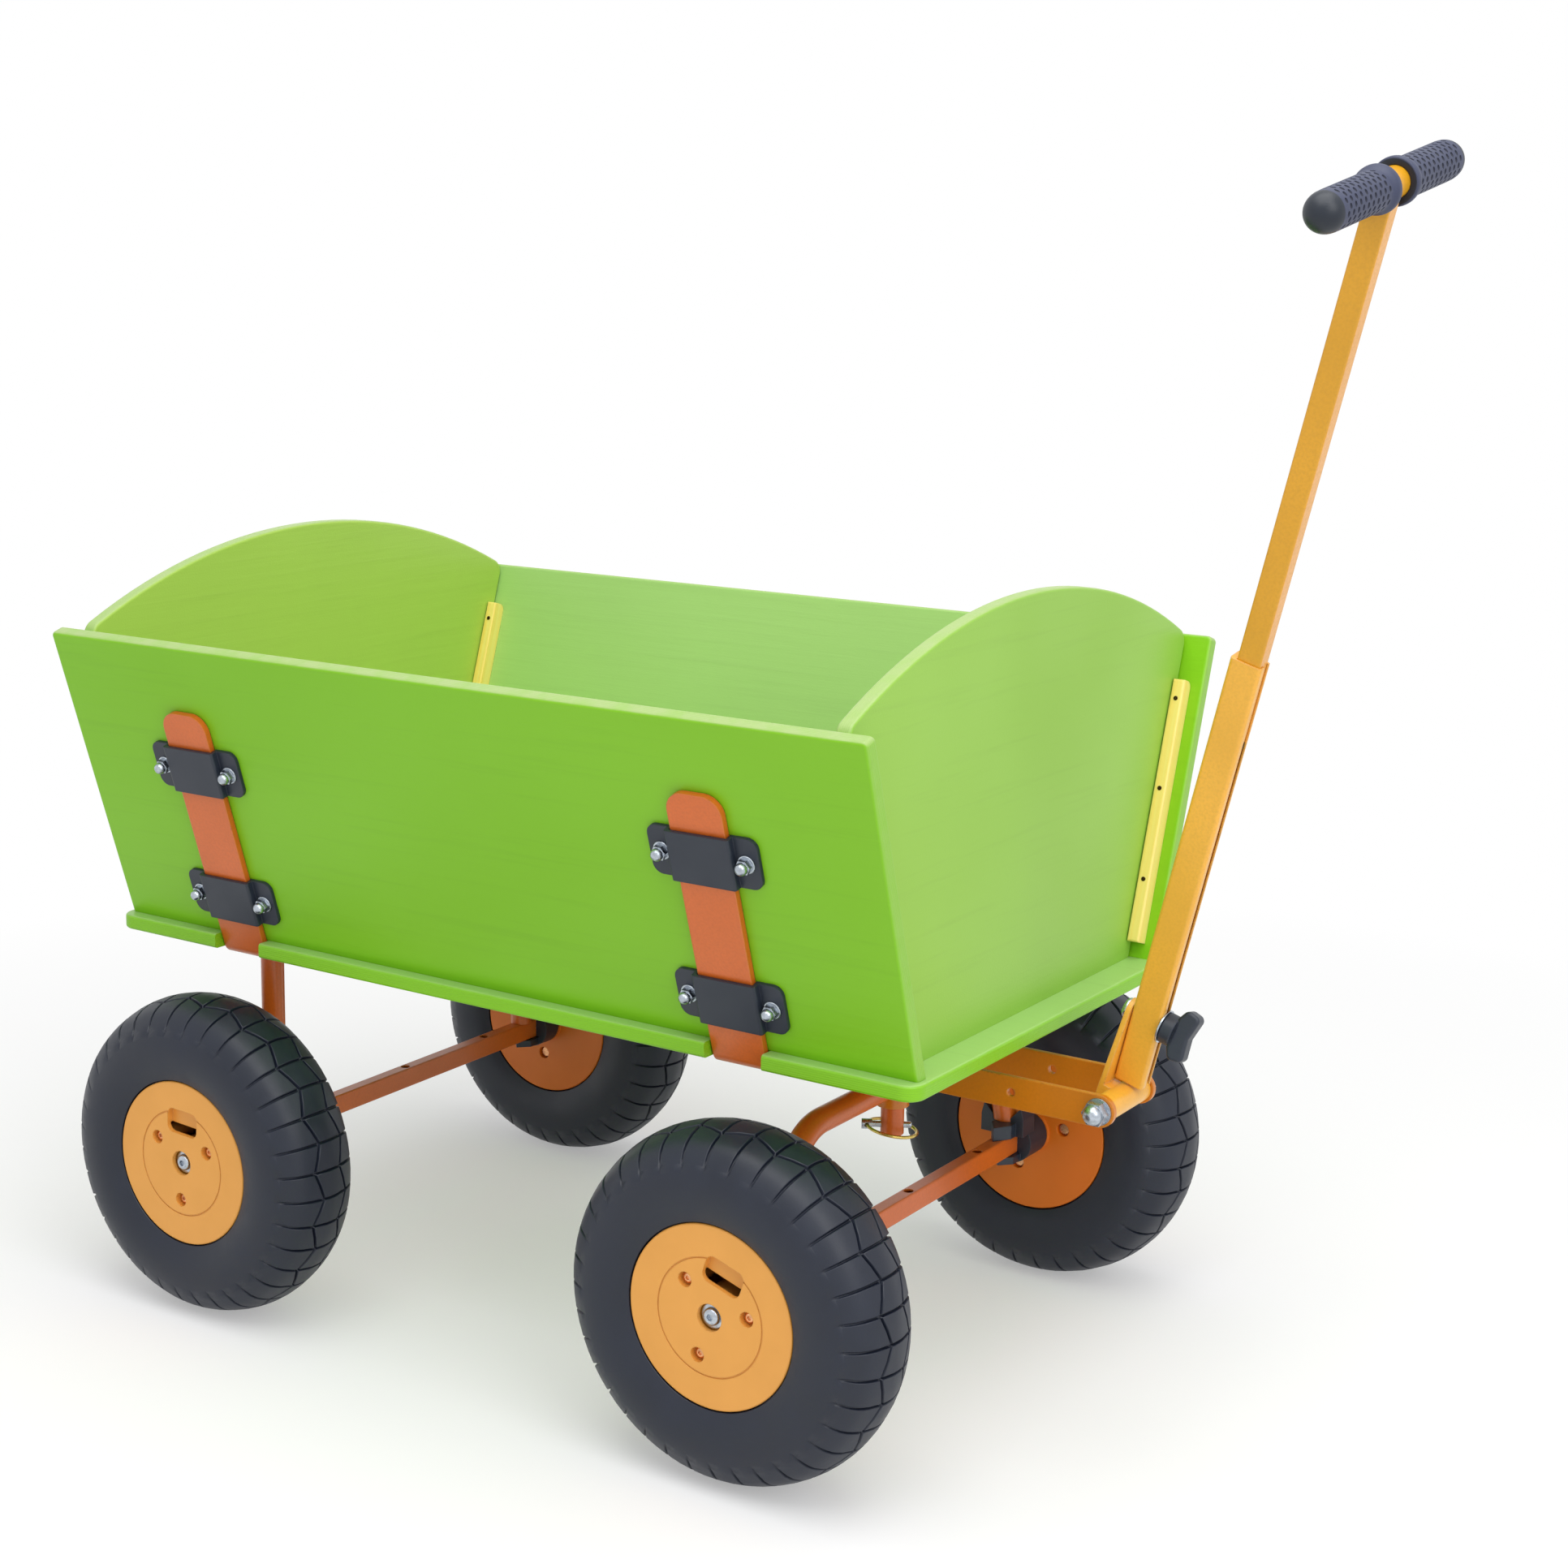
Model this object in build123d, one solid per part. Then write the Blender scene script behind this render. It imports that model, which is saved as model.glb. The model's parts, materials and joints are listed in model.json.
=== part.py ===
from build123d import *
import math
import os

# Hand-pulled wagon: plywood load box on a steel chassis, four balloon-tyred wheels, a steered front axle
# and a folding, telescopic drawbar. Millimetres. X points forward to the drawbar, Y to the left, Z up.
# The model is built with X = 0 at the middle of the floor and is shifted at the end, so that the origin
# lies on the ground under the middle of the whole wagon.

os.makedirs("parts", exist_ok=True)

# Clearances
SEAT = 0.1            # between painted faces that rest on each other
RUN = 0.06            # radial, between a turning piece and its pin
SLIDE = 0.12          # per face, between the two drawbar tubes
BOLT_PLAY = 0.2       # radial, between a bolt and its hole
LOOSE = 0.3           # between pieces that move past each other without touching
PANEL_GAP = 0.8       # between an end panel and what guides it
STRAP_GAP = 0.5       # between a strap and the side or keeper beside it

# Load floor
FLOOR_LENGTH = 760.0
FLOOR_WIDTH = 412.0
FLOOR_THICK = 12.0
FLOOR_CLEAR = 28.0    # between the tyres' tops and the floor's underside
FLOOR_CORNER_R = 14.0
NOTCH_SIDE_PLAY = 1.5
PLY_EDGE_R = 2.5

# Side panels, leaning outwards
SIDE_SETBACK = 5.0    # from the floor's ends
SIDE_LEDGE = 12.0     # from the floor's edge to the outer face
SIDE_HEIGHT = 258.0   # along the slope
SIDE_THICK = 12.0
SIDE_LEAN = 18.0      # degrees from upright
PANEL_CORNER_R = 4.0

# End panels and the battens that guide them
END_THICK = 12.0
END_INSET = 21.0      # from the ends of the side panels to the outer face
ARCH_RISE = 62.0
END_SHOULDER_R = 12.0
BATTEN_WIDTH = 10.0
BATTEN_DEPTH = 13.5
BATTEN_FOOT = 8.0     # along the slope, above the floor
BATTEN_DROP = 39.0    # along the slope, below the panel's top
BATTEN_TOP_R = 6.0    # at the top, beside the panel
BATTEN_EDGE_R = 1.5   # of the edges that face into the load box

# Cross straps and the keepers that hold the sides on them
STRAP_BACK = 13.0     # from the kingpin back to the front strap's middle
STRAP_WIDTH = 45.0
STRAP_THICK = 5.0
STRAP_DROP = 55.0     # along the slope, from the panel's top to the strap's tip
STRAP_TIP_R = 15.0
STRAP_BEND_R = 5.0    # inside
KEEPER_HEIGHT = 39.0
KEEPER_THICK = 3.0
KEEPER_CORNER_R = 8.0
KEEPER_SIDE_PLAY = 1.0
KEEPER_LOW = 38.0            # middle of the lower keeper, along the slope
KEEPER_DROP = 49.0           # from the strap's tip to the middle of the upper keeper
KEEPER_END = 10.5            # from a bolt to the end of the keeper
KEEPER_BOLT_R = 3.0
KEEPER_BOLT_COVER = 3.0      # wood left behind the bolt
KEEPER_NUT_AF = 10.0
KEEPER_NUT_HEX = 5.5
KEEPER_NUT_HEIGHT = 11.5
KEEPER_NUT_PLAY = 1.0        # between the nut and the keeper's raised middle
KEEPER_FLANGE_R = 7.0        # washer face of the nut
KEEPER_FLANGE = 1.2

# Floor bolts
FLOOR_BOLT_R = 4.0
FLOOR_BOLT_Y = (40.0, 60.0)  # half spacing at the kingpin plate and at the rear strap
FLOOR_NUT_AF = 13.0
FLOOR_NUT_HEIGHT = 6.5
BOLT_HEAD_HEIGHT = 3.5

# Wheels
TYRE_R = 130.0
TYRE_WIDTH = 85.0
TYRE_WALL = 9.0
SHOULDER_DROP = 11.0  # from the tread's crown to the shoulder
SHOULDER_IN = 9.5     # from the tyre's side to the shoulder
SHOULDER_ROUND = 12.0
WIDEST_DROP = 4.5     # from the middle between rim and tread to where the tyre is widest
BEAD_LAP = 1.0        # radial, between the rim's edge and the sidewall
RIM_R = 67.0
RIM_SETBACK = 6.5     # from the tyre's side to the rim's face
RIM_DISC = 4.0
RIM_FLANGE = 11.0     # rise of the disc over the barrel
BARREL_WALL = 3.0
HUB_WALL = 6.0
HUB_PROUD = 2.0       # inner end of the hub, beyond the disc's face
BUSH_WALL = 6.0
BUSH_SETBACK = 6.0    # from the outer disc's face to the bush
HUB_WINDOW_PLAY = 1.0 # round the axle washer, in the outer disc's opening
RIM_SCREW_IN = 22.0   # from the barrel's inside to the screws
RIM_SCREW_R = 2.2
RIM_SCREW_HEAD_R = 4.4
RIM_SCREW_HEAD = 2.6
RIM_NUT = 3.0
RIM_RECESS_R = 5.5
RIM_RECESS_DEPTH = 6.0
RIM_BOSS_R = 7.0
WINDOW_WIDTH = 32.0
WINDOW_HEIGHT = 20.0
WINDOW_IN = 19.0      # from the barrel's inside to the window's middle
WINDOW_DEPTH = 6.0
WINDOW_OPEN = 6.0     # part of the height that is open into the wheel, beside the hub
WINDOW_WALL = 2.0
WINDOW_CORNER_R = 6.0
WINDOW_ANGLE = (72.0, 87.0)  # degrees from X towards Z, front and rear wheels at rest
RING_LINE_IN = 24.0   # from the rim's edge
RING_LINE_WIDTH = 1.0
RING_LINE_DEPTH = 0.7

# Axles
FRONT_AXLE_INSET = 118.0     # from the floor's front end
REAR_AXLE_INSET = 135.0      # from the floor's rear end
STUB_R = 6.0
STUB_TANG = 40.0      # length held inside the bar
BAR_DEPTH = 12.0      # along X
BAR_HEIGHT = 17.0
BAR_WALL = 1.5
FRONT_BAR_REACH = 4.0 # beyond the arch's feet
REAR_BAR_REACH = 15.0 # beyond the rear legs' middles
BAR_HOLE_R = 4.0
BAR_HOLE_IN = 55.0    # from the legs' middles
LEG_R = 9.5
LEG_WALL = 2.0
LEG_INSET = 41.0      # from the floor's edge to the legs' middles
ARCH_FOOT_RISE = 11.5 # from the bar's top to the arch's feet
BLOCK_R = 18.0
BLOCK_LENGTH = 19.6   # rear
TONGUE_HALF = 9.0     # half width of the pointed tongues along the bar
TONGUE_REACH = 22.0   # below the bar
TONGUE_THICK = 6.0
SADDLE_REACH = 32.0   # tongue above the bar, under the arch's foot
HORN_WIDTH = 9.5      # beside the arch's foot, along X
HORN_RISE = 13.0      # above the arch's foot
HORN_LENGTH = 20.0    # along the axle
AXLE_SCREW_R = 3.0
AXLE_SCREW_HEAD_R = 6.5
AXLE_SCREW_HEAD = 4.0
AXLE_SCREW_LENGTH = 18.0
AXLE_WASHER_LAP = 3.0 # beyond the stub axle
AXLE_WASHER = 1.5

# Front arch, kingpin and fork
KINGPIN_TRAIL = 16.0  # from the front axle back to the kingpin
ARCH_CLEAR = 4.5      # between the arch's level tube and the fork
ARCH_BEND_R = 60.0
KINGPIN_R = 9.0
KINGPIN_TAIL = 8.0    # below the linch pin
KINGPIN_PLATE = (70.0, 110.0, 6.0)
KINGPIN_COLLAR = 8.6
KINGPIN_COLLAR_R = 20.0
HEAD_TUBE_WALL = 3.44
HEAD_TUBE_DROP = 17.0 # below the middle of the arch's level tube
GLIDE_R = 30.0
GLIDE_THICK = 4.0
FORK_GAP = 62.0
FORK_THICK = 4.0
FORK_HEIGHT = 24.0
FORK_BACK = 20.0             # behind the kingpin
FORK_WEB = (-30.0, 44.0)     # from and to, from the kingpin
FORK_REACH = 54.0            # drawbar pivot, beyond the floor's front end
FORK_HOLE_BACK = 70.0        # behind the pivot
FORK_HOLE_R = 3.25

# Linch pin with its wire ring
LINCH_DROP = 16.0     # below the head tube
LINCH_TURN = 32.0     # degrees from X
LINCH_PIN_R = 2.5
LINCH_OUT = 6.0       # tip, beyond the kingpin
LINCH_HEAD_R = 4.0
LINCH_HEAD_GAP = 6.5  # between the kingpin and the head
LINCH_HEAD_LENGTH = 8.0
RING_WIRE_R = 1.3
RING_PLAY = 0.6
RING_TILT = 9.0

# Drawbar
PIVOT_BOLT_R = 5.0
PIVOT_NUT_AF = 16.0
PIVOT_NUT_HEX = 8.0
PIVOT_NUT_HEIGHT = 15.0
PIVOT_WASHER_R = 10.0
PIVOT_WASHER = 1.6
PIVOT_HEAD = 6.4
BARREL_TUBE_R = 10.0
DRAWBAR_LEAN = 17.2   # degrees forward of upright, at rest
FOLD_HEIGHT = 67.0    # fold bolt above the pivot
FOLD_LEAN = 11.7      # degrees to the right of upright, at rest
FOOT_PLATE = 4.0
FOOT_PLATE_WIDTH = 18.0
FOOT_PLATE_GAP = 0.5
FOOT_GAP = 2.0        # between the pivot barrel and the lower tube's end
LOWER_DEPTH = 23.0
LOWER_WIDTH = 15.0
LOWER_WALL = 1.4
LOWER_CORNER_R = 2.5
LOWER_SLOT = 5.5
LOWER_SLOT_Y = 1.5    # middle of the slot, left of the tube's middle
LOWER_TOP = 295.0     # above the fold bolt
LOWER_CRIMP = 20.0    # length of the narrowed mouth that guides the upper tube
UPPER_ROOM = 2.96     # behind the upper tube, in the lower one
UPPER_WALL = 1.5
UPPER_OVERLAP = 60.0
FOLD_BOLT_R = 4.0
FOLD_BOLT_HEAD_R = 8.0
FOLD_WASHER_R = 12.5
FOLD_WASHER = 1.2
HANDLE_UP = 620.0     # middle of the cross bar, above the fold bolt
HANDLE_R = 10.0
HANDLE_WALL = 1.5
HANDLE_HALF = 88.0
GRIP_WALL = 3.0
GRIP_FLANGE_RISE = 2.5
GRIP_FLANGE = 4.5
GRIP_CLEAR = 3.5      # beside the lower tube's width
GRIP_END = 9.0        # beyond the handle bar
GRIP_TIP_FLAT = 0.5   # radius of the flat on the domed end
PLUG_HEAD = 5.0
PLUG_SHANK = 14.0
KNOB_COLLAR_R = 11.5
KNOB_COLLAR = 9.0
KNOB_LENGTH = 23.5
KNOB_SPAN = 39.0
KNOB_THICK = 14.0
KNOB_FLARE = 3.0      # rise of the lobes' underside, from collar to tip
KNOB_DIP = 3.0        # hollow between the lobes
KNOB_TIP_R = 4.5
KNOB_EDGE_R = 2.5
KNOB_TURN = -25.0     # degrees, lobes from the tube's direction towards the left
KNOB_CAP = 7.5        # between the bolt's hole and the knob's end

# Load box, from the driving dimensions
LEAN = math.radians(SIDE_LEAN)
AXLE_Z = TYRE_R
FLOOR_FOOT = 2 * TYRE_R + FLOOR_CLEAR
FLOOR_TOP = FLOOR_FOOT + FLOOR_THICK
SIDE_LENGTH = FLOOR_LENGTH - 2 * SIDE_SETBACK
SIDE_FOOT_Y = FLOOR_WIDTH / 2 - SIDE_LEDGE
END_X = SIDE_LENGTH / 2 - END_INSET - END_THICK / 2
BATTEN_LENGTH = SIDE_HEIGHT - BATTEN_FOOT - BATTEN_DROP

# Axles and steering head along X, and the straps over them
FRONT_AXLE_X = FLOOR_LENGTH / 2 - FRONT_AXLE_INSET
REAR_AXLE_X = REAR_AXLE_INSET - FLOOR_LENGTH / 2
KINGPIN_X = FRONT_AXLE_X - KINGPIN_TRAIL
PIVOT_X = FLOOR_LENGTH / 2 + FORK_REACH
FORK_BACK_X = KINGPIN_X - FORK_BACK
FORK_HOLE_X = PIVOT_X - FORK_HOLE_BACK
STRAP_X = (REAR_AXLE_X, KINGPIN_X - STRAP_BACK)
STRAP_UNDER = FLOOR_FOOT - SEAT - STRAP_THICK
STRAP_TIP = SIDE_HEIGHT - STRAP_DROP
KEEPER_UP = (KEEPER_LOW, STRAP_TIP - KEEPER_DROP)
KEEPER_HALF = STRAP_WIDTH / 2 + KEEPER_SIDE_PLAY
KEEPER_BOLT_SPACING = 2 * (KEEPER_HALF + KEEPER_THICK + KEEPER_NUT_PLAY + KEEPER_FLANGE_R)
KEEPER_WIDTH = KEEPER_BOLT_SPACING + 2 * KEEPER_END
KEEPER_BOLT_DEPTH = SIDE_THICK - KEEPER_BOLT_COVER

# Wheels and axles across, from the floor's width
SHOULDER_R = TYRE_R - SHOULDER_DROP
SHOULDER_Y = TYRE_WIDTH / 2 - SHOULDER_IN
SIDEWALL_R = (RIM_R + TYRE_R) / 2 - WIDEST_DROP
RIM_FACE_Y = TYRE_WIDTH / 2 - RIM_SETBACK
BARREL_R = RIM_R - RIM_FLANGE
BARREL_BORE_R = BARREL_R - BARREL_WALL
BUSH_R = STUB_R + BUSH_WALL
BUSH_OUTER_Y = RIM_FACE_Y - BUSH_SETBACK
HUB_R = BUSH_R + HUB_WALL
HUB_INNER_Y = RIM_FACE_Y + HUB_PROUD
AXLE_WASHER_R = STUB_R + AXLE_WASHER_LAP
HUB_WINDOW_R = AXLE_WASHER_R + HUB_WINDOW_PLAY
RIM_SCREW_CIRCLE = BARREL_BORE_R - RIM_SCREW_IN
WINDOW_CIRCLE = BARREL_BORE_R - WINDOW_IN
RING_LINE_R = RIM_R - RING_LINE_IN
LEG_Y = FLOOR_WIDTH / 2 - LEG_INSET
BAR_TOP = BAR_HEIGHT / 2 + SEAT
ARCH_FOOT = BAR_HEIGHT / 2 + ARCH_FOOT_RISE
HORN_TOP = ARCH_FOOT + HORN_RISE
FRONT_BAR_HALF = LEG_Y + FRONT_BAR_REACH
REAR_BAR_HALF = LEG_Y + REAR_BAR_REACH
BAR_HOLE_Y = (BAR_HOLE_IN - LEG_Y, 0.0, LEG_Y - BAR_HOLE_IN)
BLOCK_OUT = REAR_BAR_HALF + SEAT + BLOCK_LENGTH
HALF_TRACK = BLOCK_OUT + LOOSE + HUB_INNER_Y
STUB_END = HALF_TRACK + BUSH_OUTER_Y + SEAT

# Steering head, down from the front strap
COLLAR_FOOT = STRAP_UNDER - SEAT - KINGPIN_PLATE[2] - KINGPIN_COLLAR
FORK_WEB_TOP = COLLAR_FOOT - SEAT - GLIDE_THICK - SEAT
FORK_TOP = FORK_WEB_TOP - FORK_THICK
FORK_FOOT = FORK_TOP - FORK_HEIGHT
PIVOT_Z = FORK_FOOT + FORK_HEIGHT / 2
ARCH_Z = FORK_FOOT - ARCH_CLEAR - LEG_R
ARCH_LEAN = math.degrees(math.atan2(FRONT_AXLE_X - KINGPIN_X, ARCH_Z - AXLE_Z))
HEAD_TUBE_R = KINGPIN_R + RUN + HEAD_TUBE_WALL
HEAD_TUBE_FOOT = ARCH_Z - HEAD_TUBE_DROP
LINCH_Z = HEAD_TUBE_FOOT - LINCH_DROP
LINCH_TIP = KINGPIN_R + LINCH_OUT
LINCH_HEAD = (KINGPIN_R + LINCH_HEAD_GAP, KINGPIN_R + LINCH_HEAD_GAP + LINCH_HEAD_LENGTH)
RING_R = sum(LINCH_HEAD) / 2
KINGPIN_FOOT = LINCH_Z - KINGPIN_TAIL

# Drawbar
LOWER_FOOT = FOLD_HEIGHT - BARREL_TUBE_R - FOOT_GAP
LOWER_FACE = LOWER_DEPTH / 2
FOOT_BACK = -LOWER_FACE - FOOT_PLATE_GAP - FOOT_PLATE
KNOB_SEAT = LOWER_FACE + SEAT + FOLD_WASHER + SEAT
KNOB_BORE_DEPTH = KNOB_LENGTH - KNOB_CAP
BORE_DEPTH = LOWER_DEPTH - 2 * (LOWER_WALL + SLIDE)
UPPER_DEPTH = BORE_DEPTH - UPPER_ROOM
UPPER_WIDTH = LOWER_WIDTH - 2 * (LOWER_WALL + SLIDE)
UPPER_X = (BORE_DEPTH - UPPER_DEPTH) / 2
UPPER_FOOT = LOWER_TOP - UPPER_OVERLAP
GRIP_R = HANDLE_R + GRIP_WALL
GRIP_FLANGE_R = GRIP_R + GRIP_FLANGE_RISE
GRIP_TIP_R = GRIP_R - GRIP_TIP_FLAT
GRIP_INNER = LOWER_WIDTH / 2 + GRIP_CLEAR
GRIP_TIP = HANDLE_HALF + GRIP_END

# Frames that pieces are placed in
RIGHT_SIDE = Plane(
    origin=(0, -SIDE_FOOT_Y, FLOOR_TOP),
    x_dir=(1, 0, 0),
    z_dir=(0, -math.cos(LEAN), -math.sin(LEAN)),
).location
_tilt = math.radians(DRAWBAR_LEAN)
FOOT = Plane(
    origin=(PIVOT_X, 0, PIVOT_Z),
    x_dir=(math.cos(_tilt), 0, -math.sin(_tilt)),
    z_dir=(math.sin(_tilt), 0, math.cos(_tilt)),
).location
FOLD = FOOT * Pos(0, 0, FOLD_HEIGHT) * Rot(FOLD_LEAN, 0, 0)
UPPER = FOLD * Pos(UPPER_X, 0, 0)
HANDLE = UPPER * Pos(0, 0, HANDLE_UP)
KINGPIN = Pos(KINGPIN_X, 0, 0)

nodes = {}


def rod(radius, start, end):
    """Round bar along Z from start to end."""
    return Pos(0, 0, (start + end) / 2) * Cylinder(radius, end - start)


def tube(radius, bore, start, end):
    """Round tube along Z from start to end."""
    return rod(radius, start, end) - rod(bore, start - 1, end + 1)


def block(x0, x1, y0, y1, z0, z1):
    """Box between two corners."""
    return Pos((x0 + x1) / 2, (y0 + y1) / 2, (z0 + z1) / 2) * Box(x1 - x0, y1 - y0, z1 - z0)


def hexagon(across_flats, start, end):
    """Hexagonal bar along Z."""
    face = RegularPolygon(across_flats / 2, 6, major_radius=False)
    return extrude(Pos(0, 0, start) * face, end - start)


def cap_nut(across_flats, hex_height, height, bolt_r):
    """Domed nut standing on Z = 0, bored for its bolt."""
    dome = rod(across_flats * 0.46, 0, height)
    dome = fillet(dome.edges().group_by(Axis.Z)[-1], across_flats * 0.44)
    return hexagon(across_flats, 0, hex_height) + dome - rod(bolt_r + RUN, -1, height * 0.72)


def round_head(radius, height):
    """Low domed bolt head from Z = 0 upwards."""
    head = rod(radius, 0, height)
    return fillet(head.edges().group_by(Axis.Z)[-1], height * 0.8)


def along_y(shape):
    """Turn a piece made along Z to lie along Y."""
    return Rot(-90, 0, 0) * shape


def mirrored(shape):
    """The left-hand twin of a right-hand piece."""
    return mirror(shape, about=Plane.XZ)


def group(shapes):
    return Compound(children=list(shapes))


def both_sides(name, shapes):
    """Store a right-hand piece, or group of pieces, and its left-hand twin."""
    shapes = list(shapes)
    twins = [mirrored(shape) for shape in shapes]
    nodes[name + "_right"] = group(shapes) if len(shapes) > 1 else shapes[0]
    nodes[name + "_left"] = group(twins) if len(twins) > 1 else twins[0]


def keeper_places():
    for x in STRAP_X:
        for up in KEEPER_UP:
            yield x, up


def keeper_bolt_places():
    for x, up in keeper_places():
        for side in (-1, 1):
            yield x + side * KEEPER_BOLT_SPACING / 2, up


def floor_bolt_places():
    for x, half in zip(reversed(STRAP_X), FLOOR_BOLT_Y):
        for side in (-1, 1):
            yield x, side * half


# Load box

def side_panel():
    """Right-hand panel: rounded top corners, softened edges, foot cut level to stand on the floor."""
    drop = SIDE_THICK * math.tan(LEAN)
    outline = Pos(0, (SIDE_HEIGHT - drop) / 2) * Rectangle(SIDE_LENGTH, SIDE_HEIGHT + drop)
    outline = fillet(outline.vertices().group_by(Axis.Y)[-1], PANEL_CORNER_R)
    panel = extrude(Pos(0, 0, -SIDE_THICK) * outline, SIDE_THICK)
    faces = panel.faces().filter_by(Axis.Z)
    rim = [e for f in faces for e in f.edges() if e.center().Y > -drop + 1]
    panel = fillet(rim, PLY_EDGE_R)
    for x, up in keeper_bolt_places():
        panel -= Pos(x, up, 0) * rod(KEEPER_BOLT_R + RUN, -KEEPER_BOLT_DEPTH - SEAT, 1)
    panel = RIGHT_SIDE * panel
    below = FLOOR_TOP + SEAT
    return panel - block(-SIDE_LENGTH, SIDE_LENGTH, -SIDE_FOOT_Y - 50, 0, below - 50, below)


def floor_panel():
    """Floor with rounded corners, notches where the straps turn up, and bolt holes."""
    outline = RectangleRounded(FLOOR_LENGTH, FLOOR_WIDTH, FLOOR_CORNER_R)
    floor = extrude(Pos(0, 0, FLOOR_FOOT) * outline, FLOOR_THICK)
    faces = floor.faces().filter_by(Axis.Z)
    floor = fillet([e for f in faces for e in f.edges()], PLY_EDGE_R)
    half = STRAP_WIDTH / 2 + NOTCH_SIDE_PLAY
    inner = SIDE_FOOT_Y - FLOOR_THICK * math.tan(LEAN) - STRAP_BEND_R - 1
    for x in STRAP_X:
        for side in (-1, 1):
            y0, y1 = sorted((side * inner, side * FLOOR_WIDTH))
            floor -= block(x - half, x + half, y0, y1, FLOOR_FOOT - 1, FLOOR_TOP + 1)
    for x, y in floor_bolt_places():
        floor -= Pos(x, y, 0) * rod(FLOOR_BOLT_R + BOLT_PLAY, FLOOR_FOOT - 1, FLOOR_TOP + 1)
    return floor


def inner_half_width(z):
    """Half the clear width between the side panels at a height."""
    return SIDE_FOOT_Y - SIDE_THICK / math.cos(LEAN) + (z - FLOOR_TOP) * math.tan(LEAN)


def end_panel(x):
    """End panel: tapers with the sides and has an arched top."""
    foot = FLOOR_TOP + SEAT
    shoulder = FLOOR_TOP + SIDE_HEIGHT * math.cos(LEAN) + SIDE_THICK * math.sin(LEAN)
    a = inner_half_width(foot) - PANEL_GAP
    b = inner_half_width(shoulder) - PANEL_GAP
    outline = Polyline((-b, shoulder), (-a, foot), (a, foot), (b, shoulder))
    outline += ThreePointArc((b, shoulder), (0, shoulder + ARCH_RISE), (-b, shoulder))
    face = make_face(outline)
    corners = [v for v in face.vertices() if abs(v.Y - shoulder) < 1]
    face = fillet(corners, END_SHOULDER_R)
    panel = extrude(Pos(0, 0, -END_THICK / 2) * face, END_THICK)
    faces = panel.faces().filter_by(Axis.Z)
    panel = fillet([e for f in faces for e in f.edges() if e.center().Y > foot + 1], PLY_EDGE_R)
    return Plane.YZ.location * Pos(0, 0, x) * panel


def battens():
    """Four battens on the right-hand panel, one each side of either end panel."""
    reach = END_THICK / 2 + PANEL_GAP + BATTEN_WIDTH / 2
    middle = BATTEN_FOOT + BATTEN_LENGTH / 2
    inward = -SIDE_THICK - SEAT - BATTEN_DEPTH / 2
    for end in (-END_X, END_X):
        for side in (-1, 1):
            strip = Box(BATTEN_WIDTH, BATTEN_LENGTH, BATTEN_DEPTH)
            top_edge = strip.edges().filter_by(Axis.X).group_by(Axis.Y)[-1].sort_by(Axis.Z)[-1]
            strip = fillet(top_edge, BATTEN_TOP_R)
            strip = fillet(strip.faces().sort_by(Axis.Z)[0].edges(), BATTEN_EDGE_R)
            yield RIGHT_SIDE * Pos(end + side * reach, middle, inward) * strip


# Straps, keepers and their fasteners

def strap(x):
    """Flat bar under the floor, bent up outside both side panels."""
    out = STRAP_GAP + STRAP_THICK / 2
    level = FLOOR_FOOT - SEAT - STRAP_THICK / 2
    tip = (RIGHT_SIDE * Pos(x, STRAP_TIP, out)).position
    run = (tip.Z - level) * math.tan(LEAN)
    corner = (x, tip.Y + run, level)
    left_tip = (x, -tip.Y, tip.Z)
    left_corner = (x, -corner[1], level)
    path = FilletPolyline((x, tip.Y, tip.Z), corner, left_corner, left_tip, radius=STRAP_BEND_R + STRAP_THICK / 2)
    section = Plane(origin=path @ 0, x_dir=(1, 0, 0), z_dir=path % 0) * Rectangle(STRAP_WIDTH, STRAP_THICK)
    bar = sweep(section, path)
    tips = [e for e in bar.edges() if abs(e.length - STRAP_THICK) < 0.01 and e.center().Z > tip.Z - STRAP_THICK]
    bar = fillet(tips, STRAP_TIP_R)
    for bolt_x, y in floor_bolt_places():
        bar -= Pos(bolt_x, y, 0) * rod(FLOOR_BOLT_R + BOLT_PLAY, STRAP_UNDER - 1, FLOOR_FOOT + 1)
    return bar


def keeper():
    """Pressed plate with a raised middle that the strap passes through, standing on Z = 0."""
    room = STRAP_GAP + STRAP_THICK + STRAP_GAP
    plate = extrude(RectangleRounded(KEEPER_WIDTH, KEEPER_HEIGHT, KEEPER_CORNER_R), KEEPER_THICK)
    y = KEEPER_HEIGHT / 2
    half = KEEPER_HALF + KEEPER_THICK
    hat = block(-half, half, -y, y, 0, room + KEEPER_THICK)
    hat = fillet(hat.edges().filter_by(Axis.Y).group_by(Axis.Z)[-1], KEEPER_THICK * 0.7)
    piece = plate + hat - block(-KEEPER_HALF, KEEPER_HALF, -y - 1, y + 1, -1, room)
    for side in (-1, 1):
        hole = rod(KEEPER_BOLT_R + BOLT_PLAY, -1, KEEPER_THICK + 1)
        piece -= Pos(side * KEEPER_BOLT_SPACING / 2, 0, 0) * hole
    return piece


def keeper_bolt_and_nut():
    """Stud screwed into the panel, and its flanged cap nut, with Z = 0 on the panel's outer face."""
    nut_seat = KEEPER_THICK + 2 * SEAT
    bolt = rod(KEEPER_BOLT_R, -KEEPER_BOLT_DEPTH, nut_seat + KEEPER_NUT_HEIGHT * 0.6)
    nut = cap_nut(KEEPER_NUT_AF, KEEPER_NUT_HEX, KEEPER_NUT_HEIGHT, KEEPER_BOLT_R)
    flange = fillet(rod(KEEPER_FLANGE_R, 0, KEEPER_FLANGE).edges().group_by(Axis.Z)[-1], KEEPER_FLANGE / 2)
    nut += flange - rod(KEEPER_BOLT_R + RUN, -1, KEEPER_FLANGE + 1)
    return bolt, Pos(0, 0, nut_seat) * nut


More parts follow.
